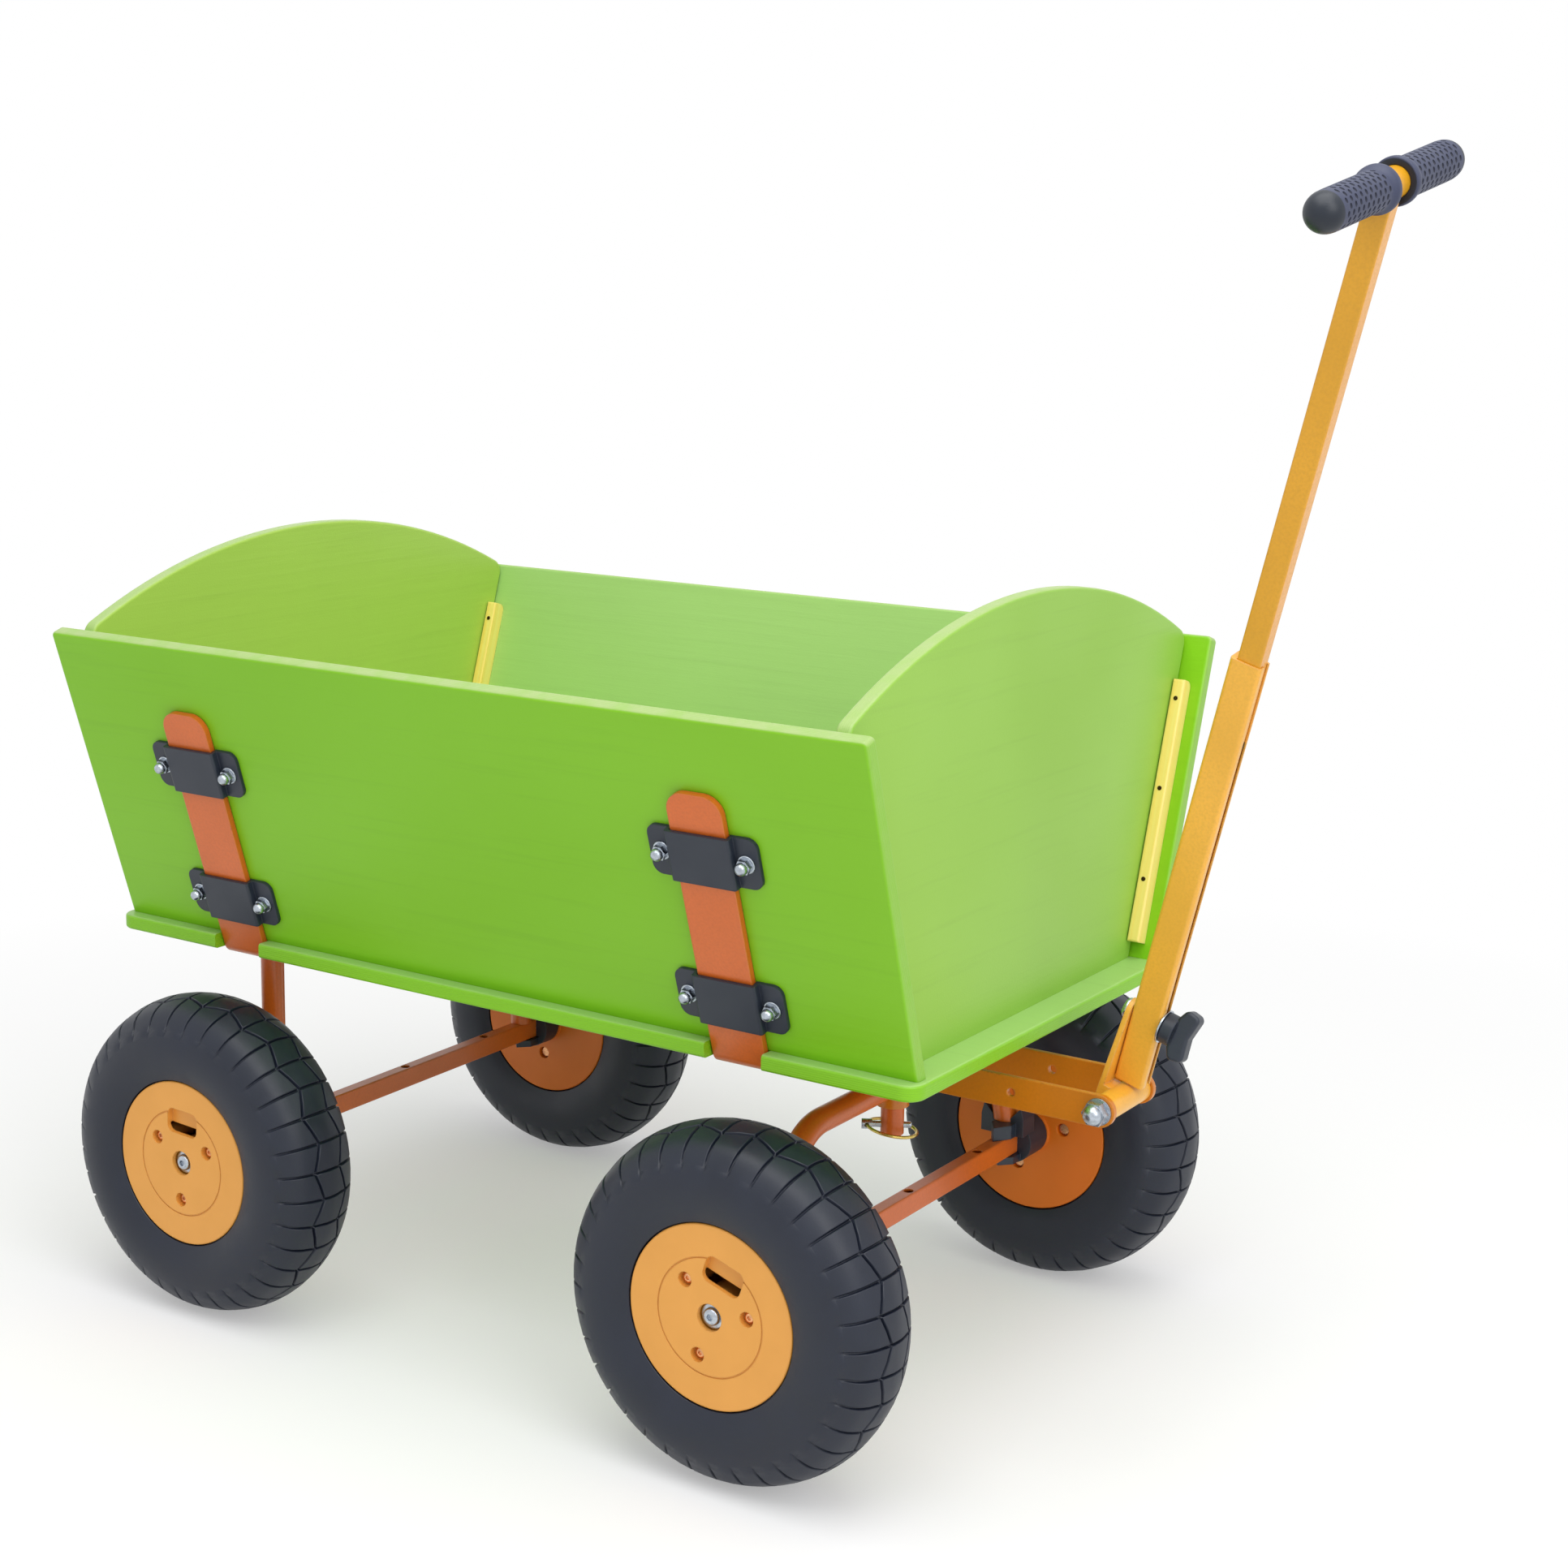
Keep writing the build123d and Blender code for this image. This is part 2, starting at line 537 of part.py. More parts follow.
def floor_bolts():
    """Bolts and nuts that hold the straps and the kingpin plate under the floor."""
    for x, y in floor_bolt_places():
        clamped = STRAP_UNDER - SEAT
        if x == STRAP_X[1]:
            clamped -= KINGPIN_PLATE[2] + SEAT
        head = Pos(0, 0, FLOOR_TOP + SEAT) * round_head(FLOOR_BOLT_R * 2.4, BOLT_HEAD_HEIGHT)
        bolt = head + rod(FLOOR_BOLT_R, clamped - FLOOR_NUT_HEIGHT - 1.5, FLOOR_TOP + 0.5)
        nut = hexagon(FLOOR_NUT_AF, clamped - FLOOR_NUT_HEIGHT, clamped)
        nut -= rod(FLOOR_BOLT_R + RUN, clamped - FLOOR_NUT_HEIGHT - 1, clamped + 1)
        yield Pos(x, y, 0) * bolt
        yield Pos(x, y, 0) * nut


# Axles

def axle_bar(half):
    """Rectangular tube along Y at the axle's middle, with holes in its top wall."""
    top = BAR_HEIGHT / 2
    bar = Box(BAR_DEPTH, 2 * half, BAR_HEIGHT)
    bar = fillet(bar.edges().filter_by(Axis.Y), BAR_WALL)
    bar -= Box(BAR_DEPTH - 2 * BAR_WALL, 2 * half + 2, BAR_HEIGHT - 2 * BAR_WALL)
    for y in BAR_HOLE_Y:
        bar -= Pos(0, y, 0) * rod(BAR_HOLE_R, top - BAR_WALL - 0.5, top + 1)
    return bar


def axle_stub(half):
    """Left stub axle: a tang inside the bar and a round journal, tapped for the wheel screw."""
    wall = 2 * (BAR_WALL + SEAT)
    tang = Box(BAR_DEPTH - wall, STUB_TANG, BAR_HEIGHT - wall)
    journal = rod(STUB_R, half, STUB_END)
    journal -= rod(AXLE_SCREW_R + RUN, STUB_END - AXLE_SCREW_LENGTH - 2, STUB_END + 1)
    return Pos(0, half - STUB_TANG / 2, 0) * tang + along_y(journal)


def tongue(reach, thick):
    """Pointed tongue from Y = 0 towards the wagon's middle, standing on Z = 0."""
    shoulder = reach * 0.55
    outline = Polyline(
        (-TONGUE_HALF, TONGUE_HALF),
        (TONGUE_HALF, TONGUE_HALF),
        (TONGUE_HALF, -shoulder),
        (0, -reach),
        (-TONGUE_HALF, -shoulder),
        close=True,
    )
    return extrude(make_face(outline), thick)


def axle_block(half):
    """Left moulded block between a bar and its hub: round boss with a pointed tongue under the bar."""
    start = half + SEAT
    boss = rod(BLOCK_R, start, BLOCK_OUT)
    boss = along_y(fillet(boss.edges().group_by(Axis.Z)[-1], 2.0))
    piece = boss + Pos(0, start, -BAR_TOP - TONGUE_THICK) * tongue(TONGUE_REACH, TONGUE_THICK)
    return piece - along_y(rod(STUB_R + RUN, start - 1, BLOCK_OUT + 1))


def arch_block():
    """Left front block: its upper tongue carries the arch's foot, between two pointed horns."""
    start = FRONT_BAR_HALF + SEAT
    middle = -ARCH_FOOT * math.tan(math.radians(ARCH_LEAN))
    inner = LEG_R - HORN_WIDTH / 2
    outer = LEG_R + HORN_WIDTH
    saddle = Pos(0, start, BAR_TOP) * tongue(SADDLE_REACH, ARCH_FOOT - BAR_TOP)
    horns = Polyline(
        (-outer, BAR_TOP),
        (outer, BAR_TOP),
        (outer, ARCH_FOOT + HORN_RISE / 4),
        (outer - HORN_WIDTH / 4, HORN_TOP),
        (inner, ARCH_FOOT),
        (-inner, ARCH_FOOT),
        (HORN_WIDTH / 4 - outer, HORN_TOP),
        (-outer, ARCH_FOOT + HORN_RISE / 4),
        close=True,
    )
    horns = Plane.XZ.location * Pos(0, 0, -HORN_LENGTH / 2) * extrude(make_face(horns), HORN_LENGTH)
    seat = Pos(0, LEG_Y, 0) * Rot(0, -ARCH_LEAN, 0) * rod(LEG_R + SEAT, 0, 2 * HORN_TOP)
    seat -= block(-BLOCK_OUT, BLOCK_OUT, 0, BLOCK_OUT, -BLOCK_R, ARCH_FOOT)
    return axle_block(FRONT_BAR_HALF) + saddle + Pos(middle, start, 0) * horns - seat


def axle_screw():
    """Wheel screw and washer in the left end of the axle."""
    seat = STUB_END + SEAT
    washer = tube(AXLE_WASHER_R, AXLE_SCREW_R + BOLT_PLAY, seat, seat + AXLE_WASHER)
    top = seat + AXLE_WASHER + SEAT
    head = Pos(0, 0, top) * round_head(AXLE_SCREW_HEAD_R, AXLE_SCREW_HEAD)
    socket = hexagon(AXLE_SCREW_R * 1.5, top + AXLE_SCREW_HEAD * 0.4, top + AXLE_SCREW_HEAD + 1)
    screw = head + rod(AXLE_SCREW_R, top - AXLE_SCREW_LENGTH, top + 0.5) - socket
    return along_y(washer), along_y(screw)


def axle_pair(place, left_pieces):
    """Left-hand pieces of an axle with their right-hand twins, in one group."""
    return group([place * piece for left in left_pieces for piece in (left, mirrored(left))])


def axle_set(name, x, half, left_block):
    """Bar, stub axles, blocks and wheel screws of one axle."""
    place = Pos(x, 0, AXLE_Z)
    nodes[name + "_axle_bar"] = place * axle_bar(half)
    nodes[name + "_axle_stubs"] = axle_pair(place, [axle_stub(half)])
    nodes[name + "_axle_blocks"] = axle_pair(place, [left_block])
    nodes[name + "_axle_screws"] = axle_pair(place, axle_screw())


def rear_legs():
    """Two upright tubes between the rear axle's bar and the rear strap."""
    leg = tube(LEG_R, LEG_R - LEG_WALL, AXLE_Z + BAR_TOP, STRAP_UNDER - SEAT)
    return group([Pos(REAR_AXLE_X, side * LEG_Y, 0) * leg for side in (-1, 1)])


def front_arch():
    """Bent tube from the front axle's blocks up to the head tube, one half each side of it."""
    frame = Pos(FRONT_AXLE_X, 0, AXLE_Z) * Rot(0, -ARCH_LEAN, 0) * Plane.YZ.location
    crown = math.hypot(FRONT_AXLE_X - KINGPIN_X, ARCH_Z - AXLE_Z)
    path = FilletPolyline((-LEG_Y, 0), (-LEG_Y, crown), (LEG_Y, crown), (LEG_Y, 0), radius=ARCH_BEND_R)
    section = Plane(origin=path @ 0, z_dir=path % 0) * (Circle(LEG_R) - Circle(LEG_R - LEG_WALL))
    bow = frame * sweep(section, path)
    bow -= KINGPIN * rod(HEAD_TUBE_R + SEAT, 0, FLOOR_FOOT)
    top = AXLE_Z + ARCH_FOOT + SEAT
    return bow - block(0, 2 * FRONT_AXLE_X, -2 * LEG_Y, 2 * LEG_Y, 0, top)


# Steering head

def kingpin():
    """Plate under the front strap with a collar and the pin that the front axle turns on."""
    length, width, thick = KINGPIN_PLATE
    top = STRAP_UNDER - SEAT
    x0 = STRAP_X[1] - STRAP_WIDTH / 2
    piece = block(x0, x0 + length, -width / 2, width / 2, top - thick, top)
    piece = fillet(piece.edges().filter_by(Axis.Z), KEEPER_CORNER_R)
    piece += KINGPIN * rod(KINGPIN_COLLAR_R, COLLAR_FOOT, top - thick / 2)
    pin = rod(KINGPIN_R, KINGPIN_FOOT, COLLAR_FOOT + 1)
    piece += KINGPIN * chamfer(pin.edges().group_by(Axis.Z)[0], 1.5)
    for x, y in floor_bolt_places():
        piece -= Pos(x, y, 0) * rod(FLOOR_BOLT_R + BOLT_PLAY, top - thick - 1, top + 1)
    return piece - linch_place() * rod(LINCH_PIN_R + BOLT_PLAY, -2 * KINGPIN_R, 2 * KINGPIN_R)


def linch_place():
    """Frame on the linch pin's axis: Z along the pin, towards its tip."""
    return Pos(KINGPIN_X, 0, LINCH_Z) * Rot(0, 0, LINCH_TURN) * Rot(0, 90, 0)


def linch_pin():
    """Cross pin with a head that the wire ring passes through."""
    piece = rod(LINCH_PIN_R, -LINCH_HEAD[0] - 1, LINCH_TIP)
    piece = fillet(piece.edges().group_by(Axis.Z)[-1], LINCH_PIN_R * 0.6)
    piece += rod(LINCH_HEAD_R, -LINCH_HEAD[1], -LINCH_HEAD[0])
    piece -= Pos(0, 0, -RING_R) * along_y(rod(RING_WIRE_R + RING_PLAY, -2 * LINCH_HEAD_R, 2 * LINCH_HEAD_R))
    return linch_place() * piece


def linch_ring():
    """Wire ring round the kingpin's end, hinged in the linch pin's head."""
    ring = Torus(RING_R, RING_WIRE_R)
    hinge = Pos(-RING_R, 0, 0) * Rot(0, RING_TILT, 0) * Pos(RING_R, 0, 0)
    return Pos(KINGPIN_X, 0, LINCH_Z) * Rot(0, 0, LINCH_TURN) * hinge * ring


def head_tube():
    """Bush tube that turns on the kingpin and carries the arch and the fork."""
    return KINGPIN * tube(HEAD_TUBE_R, KINGPIN_R + RUN, HEAD_TUBE_FOOT, FORK_TOP - SEAT)


def glide_washer():
    """Plastic washer between the fork and the kingpin's collar."""
    start = FORK_WEB_TOP + SEAT
    return KINGPIN * tube(GLIDE_R, KINGPIN_R + LOOSE, start, start + GLIDE_THICK)


def drawbar_fork():
    """Two flat bars joined by a web over the head tube, with the drawbar's pivot holes at the front."""
    inner = FORK_GAP / 2
    outer = inner + FORK_THICK
    front_r = FORK_HEIGHT / 2
    outline = Pos((FORK_BACK_X + PIVOT_X) / 2, PIVOT_Z) * Rectangle(PIVOT_X - FORK_BACK_X, FORK_HEIGHT)
    outline += Pos(PIVOT_X, PIVOT_Z) * Circle(front_r)
    outline -= Pos(PIVOT_X, PIVOT_Z) * Circle(PIVOT_BOLT_R + BOLT_PLAY)
    outline -= Pos(FORK_HOLE_X, PIVOT_Z) * Circle(FORK_HOLE_R)
    cheek = Plane.XZ.location * extrude(outline, FORK_THICK)
    fork = Pos(0, -inner, 0) * cheek + Pos(0, outer, 0) * cheek
    web = KINGPIN * block(FORK_WEB[0], FORK_WEB[1], -outer, outer, FORK_TOP, FORK_WEB_TOP)
    web = fillet(web.edges().filter_by(Axis.Z), KEEPER_CORNER_R)
    return fork + web - KINGPIN * rod(KINGPIN_R + LOOSE, FORK_TOP - 1, FORK_WEB_TOP + 1)


def pivot_bolt():
    """Drawbar pivot: hexagon bolt from the left, washer and cap nut on the right."""
    outer = FORK_GAP / 2 + FORK_THICK + SEAT
    bolt = hexagon(PIVOT_NUT_AF, outer, outer + PIVOT_HEAD)
    nut_seat = outer + PIVOT_WASHER + SEAT
    bolt += rod(PIVOT_BOLT_R, -nut_seat - PIVOT_NUT_HEIGHT * 0.6, outer + 1)
    washer = tube(PIVOT_WASHER_R, PIVOT_BOLT_R + BOLT_PLAY, -outer - PIVOT_WASHER, -outer)
    nut = cap_nut(PIVOT_NUT_AF, PIVOT_NUT_HEX, PIVOT_NUT_HEIGHT, PIVOT_BOLT_R)
    nut = Pos(0, 0, -nut_seat) * Rot(180, 0, 0) * nut
    place = Pos(PIVOT_X, 0, PIVOT_Z)
    return group([place * along_y(piece) for piece in (bolt, washer, nut)])


# Drawbar

def drawbar_foot():
    """Pivot barrel with an upright plate behind, which the lower tube is bolted to."""
    half = FORK_GAP / 2 - LOOSE
    face = FOOT_BACK + FOOT_PLATE
    y = FOOT_PLATE_WIDTH / 2
    piece = along_y(rod(BARREL_TUBE_R, -half, half))
    web = BARREL_TUBE_R * 0.8
    piece += block(FOOT_BACK, 0, -y, y, -web, web)
    piece += block(FOOT_BACK, face, -y, y, -web, FOLD_HEIGHT)
    bolt_axis = Pos(0, 0, FOLD_HEIGHT) * Rot(0, 90, 0)
    piece += bolt_axis * rod(y, FOOT_BACK, face)
    piece -= bolt_axis * rod(FOLD_BOLT_R + BOLT_PLAY, FOOT_BACK - 1, face + 1)
    piece -= along_y(rod(PIVOT_BOLT_R + RUN, -half - 1, half + 1))
    return FOOT * piece


def flat_tube(depth, width, wall, start, end, corner):
    """Rectangular tube along Z with rounded corners."""
    outer = RectangleRounded(depth, width, corner)
    inner = RectangleRounded(depth - 2 * wall, width - 2 * wall, max(corner - wall, 0.3))
    return extrude(Pos(0, 0, start) * (outer - inner), end - start)


def drawbar_lower_tube():
    """Lower drawbar tube with a slot down its front face and a narrowed mouth, drilled for the fold bolt."""
    piece = flat_tube(LOWER_DEPTH, LOWER_WIDTH, LOWER_WALL, -LOWER_FOOT, LOWER_TOP, LOWER_CORNER_R)
    into_wall = LOWER_WALL * 0.75
    back = UPPER_X - UPPER_DEPTH / 2 - SLIDE
    side = LOWER_WIDTH / 2 - into_wall
    piece += block(-LOWER_FACE + into_wall, back, -side, side, LOWER_TOP - LOWER_CRIMP, LOWER_TOP)
    slot = Pos(0, LOWER_SLOT_Y, 0) * Box(2 * LOWER_WALL, LOWER_SLOT, 4 * LOWER_TOP)
    piece -= Pos(LOWER_FACE, 0, 0) * slot
    piece -= Rot(0, 90, 0) * rod(FOLD_BOLT_R + RUN, -LOWER_DEPTH, LOWER_DEPTH)
    return FOLD * piece


def fold_bolt():
    """Round-headed bolt from behind through the foot plate and the lower tube, and the washer under its knob."""
    back = FOOT_BACK - SEAT
    head = Pos(0, 0, back) * Rot(180, 0, 0) * round_head(FOLD_BOLT_HEAD_R, BOLT_HEAD_HEIGHT)
    bolt = head + rod(FOLD_BOLT_R, back - 0.5, KNOB_SEAT + KNOB_BORE_DEPTH - 2)
    washer = tube(FOLD_WASHER_R, FOLD_BOLT_R + BOLT_PLAY, LOWER_FACE + SEAT, LOWER_FACE + SEAT + FOLD_WASHER)
    return group([FOLD * Rot(0, 90, 0) * piece for piece in (bolt, washer)])


def fold_knob():
    """Wing knob on the fold bolt: round collar and two broad lobes."""
    collar = fillet(rod(KNOB_COLLAR_R, 0, KNOB_COLLAR).edges(), 1.0)
    reach = KNOB_SPAN / 2
    wing = Polyline(
        (-KNOB_COLLAR_R, KNOB_COLLAR - 1),
        (KNOB_COLLAR_R, KNOB_COLLAR - 1),
        (reach, KNOB_COLLAR + KNOB_FLARE),
        (reach * 0.9, KNOB_LENGTH),
        (0, KNOB_LENGTH - KNOB_DIP),
        (-reach * 0.9, KNOB_LENGTH),
        (-reach, KNOB_COLLAR + KNOB_FLARE),
        close=True,
    )
    lobes = Plane.XZ.location * Pos(0, 0, -KNOB_THICK / 2) * extrude(make_face(wing), KNOB_THICK)
    tips = [e for e in lobes.edges().filter_by(Axis.Y) if abs(e.center().X) > KNOB_COLLAR_R + 1]
    lobes = fillet(tips, KNOB_TIP_R)
    lobes = fillet([e for f in lobes.faces().filter_by(Axis.Y) for e in f.edges()], KNOB_EDGE_R)
    knob = collar + lobes - rod(FOLD_BOLT_R + RUN, -1, KNOB_BORE_DEPTH)
    return FOLD * Rot(0, 90, 0) * Pos(0, 0, KNOB_SEAT) * Rot(0, 0, KNOB_TURN) * knob


def drawbar_upper_tube():
    """Upper drawbar tube, coped at the top to the handle bar."""
    piece = flat_tube(UPPER_DEPTH, UPPER_WIDTH, UPPER_WALL, UPPER_FOOT, HANDLE_UP, LOWER_CORNER_R - LOWER_WALL)
    return UPPER * (piece - Pos(0, 0, HANDLE_UP) * along_y(rod(HANDLE_R + SEAT, -HANDLE_HALF, HANDLE_HALF)))


def upper_tube_plug():
    """Plastic plug in the upper tube's lower end, which slides in the lower tube."""
    head = block(-BORE_DEPTH / 2, BORE_DEPTH / 2, -UPPER_WIDTH / 2, UPPER_WIDTH / 2, -PLUG_HEAD, -SEAT)
    head = fillet(head.edges().filter_by(Axis.Z), LOWER_CORNER_R - LOWER_WALL)
    depth = UPPER_DEPTH / 2 - UPPER_WALL - SEAT
    width = UPPER_WIDTH / 2 - UPPER_WALL - SEAT
    shank = block(UPPER_X - depth, UPPER_X + depth, -width, width, -SEAT - 0.5, PLUG_SHANK)
    return FOLD * Pos(0, 0, UPPER_FOOT) * (head + shank)


def handle_bar():
    """Cross tube that the grips are pushed on."""
    bar = tube(HANDLE_R, HANDLE_R - HANDLE_WALL, -HANDLE_HALF, HANDLE_HALF)
    return HANDLE * along_y(bar)


def grip():
    """Left-hand grip along Z: flange, round body and domed end, bored for the handle bar."""
    body = rod(GRIP_R, GRIP_INNER, GRIP_TIP)
    body = fillet(body.edges().group_by(Axis.Z)[-1], GRIP_TIP_R)
    flange = rod(GRIP_FLANGE_R, GRIP_INNER, GRIP_INNER + GRIP_FLANGE)
    body += fillet(flange.edges(), 1.0)
    return body - rod(HANDLE_R + RUN, GRIP_INNER - 1, HANDLE_HALF + SEAT)


# Wheels

def tyre():
    """Balloon tyre round Z: open towards the rim, as a real cover is."""
    half = TYRE_WIDTH / 2
    bead_y = RIM_FACE_Y - RIM_DISC - SEAT
    bead = BARREL_R + LOOSE
    lap = RIM_R + BEAD_LAP
    outer = ThreePointArc((lap, RIM_FACE_Y), (SIDEWALL_R, half), (SHOULDER_R, SHOULDER_Y))
    outer += ThreePointArc((SHOULDER_R, SHOULDER_Y), (TYRE_R, 0), (SHOULDER_R, -SHOULDER_Y))
    outer += ThreePointArc((SHOULDER_R, -SHOULDER_Y), (SIDEWALL_R, -half), (lap, -RIM_FACE_Y))
    outer += Polyline(
        (lap, -RIM_FACE_Y),
        (lap, -bead_y),
        (bead, -bead_y),
        (bead, bead_y),
        (lap, bead_y),
        (lap, RIM_FACE_Y),
    )
    section = make_face(outer)
    corners = [v for v in section.vertices() if abs(v.X - SHOULDER_R) < 0.5]
    section = fillet(corners, SHOULDER_ROUND)
    cavity = Pos(SIDEWALL_R, 0) * Ellipse(TYRE_R - SIDEWALL_R - TYRE_WALL, half - TYRE_WALL)
    cavity += Pos(SIDEWALL_R / 2, 0) * Rectangle(SIDEWALL_R, 2 * (bead_y - TYRE_WALL))
    return revolve(Plane.XZ * (section - cavity), Axis.Z)


def screw_places(clock):
    for turn in (60, 180, 300):
        yield Rot(0, 0, clock + turn) * Pos(RIM_SCREW_CIRCLE, 0, 0)


def rim_half(face, hub_end):
    """Plain rim half along Z: disc, barrel that the tyre's bead sits on, and hub."""
    disc_foot = face - RIM_DISC
    piece = rod(RIM_R, disc_foot, face)
    piece = fillet(piece.edges().group_by(Axis.Z)[-1], 1.2)
    piece += tube(BARREL_R, BARREL_BORE_R, SEAT, disc_foot + 1)
    return piece + rod(HUB_R, SEAT, hub_end)


def rim_outer(clock):
    """Outer rim half: valve window, screw recesses, ring line and an opening over the axle screw."""
    piece = rim_half(RIM_FACE_Y, RIM_FACE_Y - 1)
    for place in screw_places(clock):
        piece += place * rod(RIM_BOSS_R, SEAT, RIM_FACE_Y - 1)
        piece -= place * rod(RIM_RECESS_R, RIM_FACE_Y - RIM_RECESS_DEPTH, RIM_FACE_Y + 1)
        piece -= place * rod(RIM_SCREW_R + BOLT_PLAY, -1, RIM_FACE_Y)
    window = Rot(0, 0, clock) * Pos(WINDOW_CIRCLE, 0, 0)
    outline = RectangleRounded(WINDOW_HEIGHT, WINDOW_WIDTH, WINDOW_CORNER_R)
    case = offset(outline, WINDOW_WALL)
    floor_z = RIM_FACE_Y - WINDOW_DEPTH
    tray = extrude(Pos(0, 0, floor_z - WINDOW_WALL) * case, WINDOW_DEPTH)
    sill = WINDOW_OPEN - WINDOW_HEIGHT / 2
    tray -= block(-WINDOW_HEIGHT, sill, -WINDOW_WIDTH, WINDOW_WIDTH, 0, RIM_FACE_Y)
    piece += window * tray
    piece -= window * extrude(Pos(0, 0, floor_z) * outline, WINDOW_DEPTH + 1)
    line = Circle(RING_LINE_R + RING_LINE_WIDTH / 2) - Circle(RING_LINE_R - RING_LINE_WIDTH / 2)
    piece -= extrude(Pos(0, 0, RIM_FACE_Y - RING_LINE_DEPTH) * line, RING_LINE_DEPTH + 1)
    piece -= rod(BUSH_R + RUN, -1, RIM_FACE_Y - RIM_DISC)
    return piece - rod(HUB_WINDOW_R, 0, RIM_FACE_Y + 1)


def rim_inner(clock):
    """Inner rim half, pointing along +Z before it is turned inwards: screw bosses and a longer hub."""
    piece = rim_half(RIM_FACE_Y, HUB_INNER_Y)
    for place in screw_places(-clock):
        piece += place * rod(RIM_BOSS_R, SEAT, RIM_FACE_Y - 1)
        piece -= place * rod(RIM_RECESS_R, RIM_FACE_Y - RIM_RECESS_DEPTH, RIM_FACE_Y + 1)
        piece -= place * rod(RIM_SCREW_R + BOLT_PLAY, -1, RIM_FACE_Y)
    piece -= rod(BUSH_R + RUN, -1, HUB_INNER_Y + 1)
    return Rot(180, 0, 0) * piece


def hub_bush():
    """Plain bearing that runs on the stub axle."""
    return tube(BUSH_R, STUB_R + RUN, -HUB_INNER_Y, BUSH_OUTER_Y)


def rim_screws(clock):
    """Three screws with their nuts, which clamp the rim halves together."""
    seat = RIM_FACE_Y - RIM_RECESS_DEPTH + SEAT
    head = Pos(0, 0, seat) * round_head(RIM_SCREW_HEAD_R, RIM_SCREW_HEAD)
    socket = hexagon(RIM_SCREW_R * 1.3, seat + RIM_SCREW_HEAD / 2, seat + 2 * RIM_SCREW_HEAD)
    screw = head + rod(RIM_SCREW_R, -seat - RIM_NUT, seat + 0.5) - socket
    nut = tube(RIM_SCREW_HEAD_R, RIM_SCREW_R + RUN, -seat - RIM_NUT, -seat)
    return [place * piece for place in screw_places(clock) for piece in (screw, nut)]


def wheel(name, x, side, window_angle):
    """One wheel: its pieces are made round Z with the outer face up, then laid along Y."""
    outward = Rot(0, 0, 0) if side > 0 else Rot(0, 0, 180)
    place = Pos(x, side * HALF_TRACK, AXLE_Z) * outward * Rot(-90, 0, 0)
    clock = -window_angle if side > 0 else window_angle - 180
    nodes[name + "_tyre"] = place * tyre()
    nodes[name + "_rim_outer"] = place * rim_outer(clock)
    nodes[name + "_rim_inner"] = place * rim_inner(clock)
    nodes[name + "_hub_bush"] = place * hub_bush()
    nodes[name + "_rim_screws"] = group([place * piece for piece in rim_screws(clock)])


# The wagon

nodes["floor_panel"] = floor_panel()
nodes["strap_rear"] = strap(STRAP_X[0])
nodes["strap_front"] = strap(STRAP_X[1])
nodes["floor_bolts"] = group(floor_bolts())
both_sides("side_panel", [side_panel()])
both_sides("battens", battens())
one_keeper = keeper()
both_sides("keepers", [RIGHT_SIDE * Pos(x, up, SEAT) * one_keeper for x, up in keeper_places()])
bolt_pair = keeper_bolt_and_nut()
bolt_frames = [RIGHT_SIDE * Pos(x, up, 0) for x, up in keeper_bolt_places()]
both_sides("keeper_bolts", [frame * piece for frame in bolt_frames for piece in bolt_pair])
nodes["end_panel_front"] = end_panel(END_X)
nodes["end_panel_rear"] = end_panel(-END_X)

axle_set("rear", REAR_AXLE_X, REAR_BAR_HALF, axle_block(REAR_BAR_HALF))
axle_set("front", FRONT_AXLE_X, FRONT_BAR_HALF, arch_block())
nodes["rear_legs"] = rear_legs()
nodes["front_arch"] = front_arch()
nodes["kingpin"] = kingpin()
nodes["linch_pin"] = linch_pin()
nodes["linch_ring"] = linch_ring()
nodes["head_tube"] = head_tube()
nodes["glide_washer"] = glide_washer()
nodes["drawbar_fork"] = drawbar_fork()
nodes["pivot_bolt"] = pivot_bolt()

nodes["drawbar_foot"] = drawbar_foot()
nodes["drawbar_lower_tube"] = drawbar_lower_tube()
nodes["fold_bolt"] = fold_bolt()
nodes["fold_knob"] = fold_knob()
nodes["drawbar_upper_tube"] = drawbar_upper_tube()
nodes["upper_tube_plug"] = upper_tube_plug()
nodes["handle_bar"] = handle_bar()
nodes["grip_left"] = HANDLE * along_y(grip())
nodes["grip_right"] = HANDLE * Rot(0, 0, 180) * along_y(grip())

for axle, axle_x, window_angle in zip(("front", "rear"), (FRONT_AXLE_X, REAR_AXLE_X), WINDOW_ANGLE):
    wheel(f"wheel_{axle}_left", axle_x, 1, window_angle)
    wheel(f"wheel_{axle}_right", axle_x, -1, window_angle)

# Shift to the origin under the middle of the whole wagon, and write one file for each piece
boxes = [shape.bounding_box() for shape in nodes.values()]
middle_x = (min(b.min.X for b in boxes) + max(b.max.X for b in boxes)) / 2
for name, shape in nodes.items():
    export_step(Pos(-middle_x, 0, 0) * shape, f"parts/{name}.step")

print("middle_x", round(middle_x, 3), "pieces", len(nodes))
for label, frame in (("tilt", FOOT), ("fold", FOLD), ("linch", linch_place())):
    point = frame.position
    axes = [(frame * Pos(*d)).position - point for d in ((1, 0, 0), (0, 1, 0), (0, 0, 1))]
    print(label, [round(v, 4) for v in (point.X - middle_x, point.Y, point.Z)])
    for axis in axes:
        print("   ", [round(v, 6) for v in tuple(axis)])
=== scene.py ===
import json
import math

import bmesh
import bpy
from bpy.props import FloatProperty, FloatVectorProperty, IntProperty, PointerProperty
from mathutils import Matrix, Vector

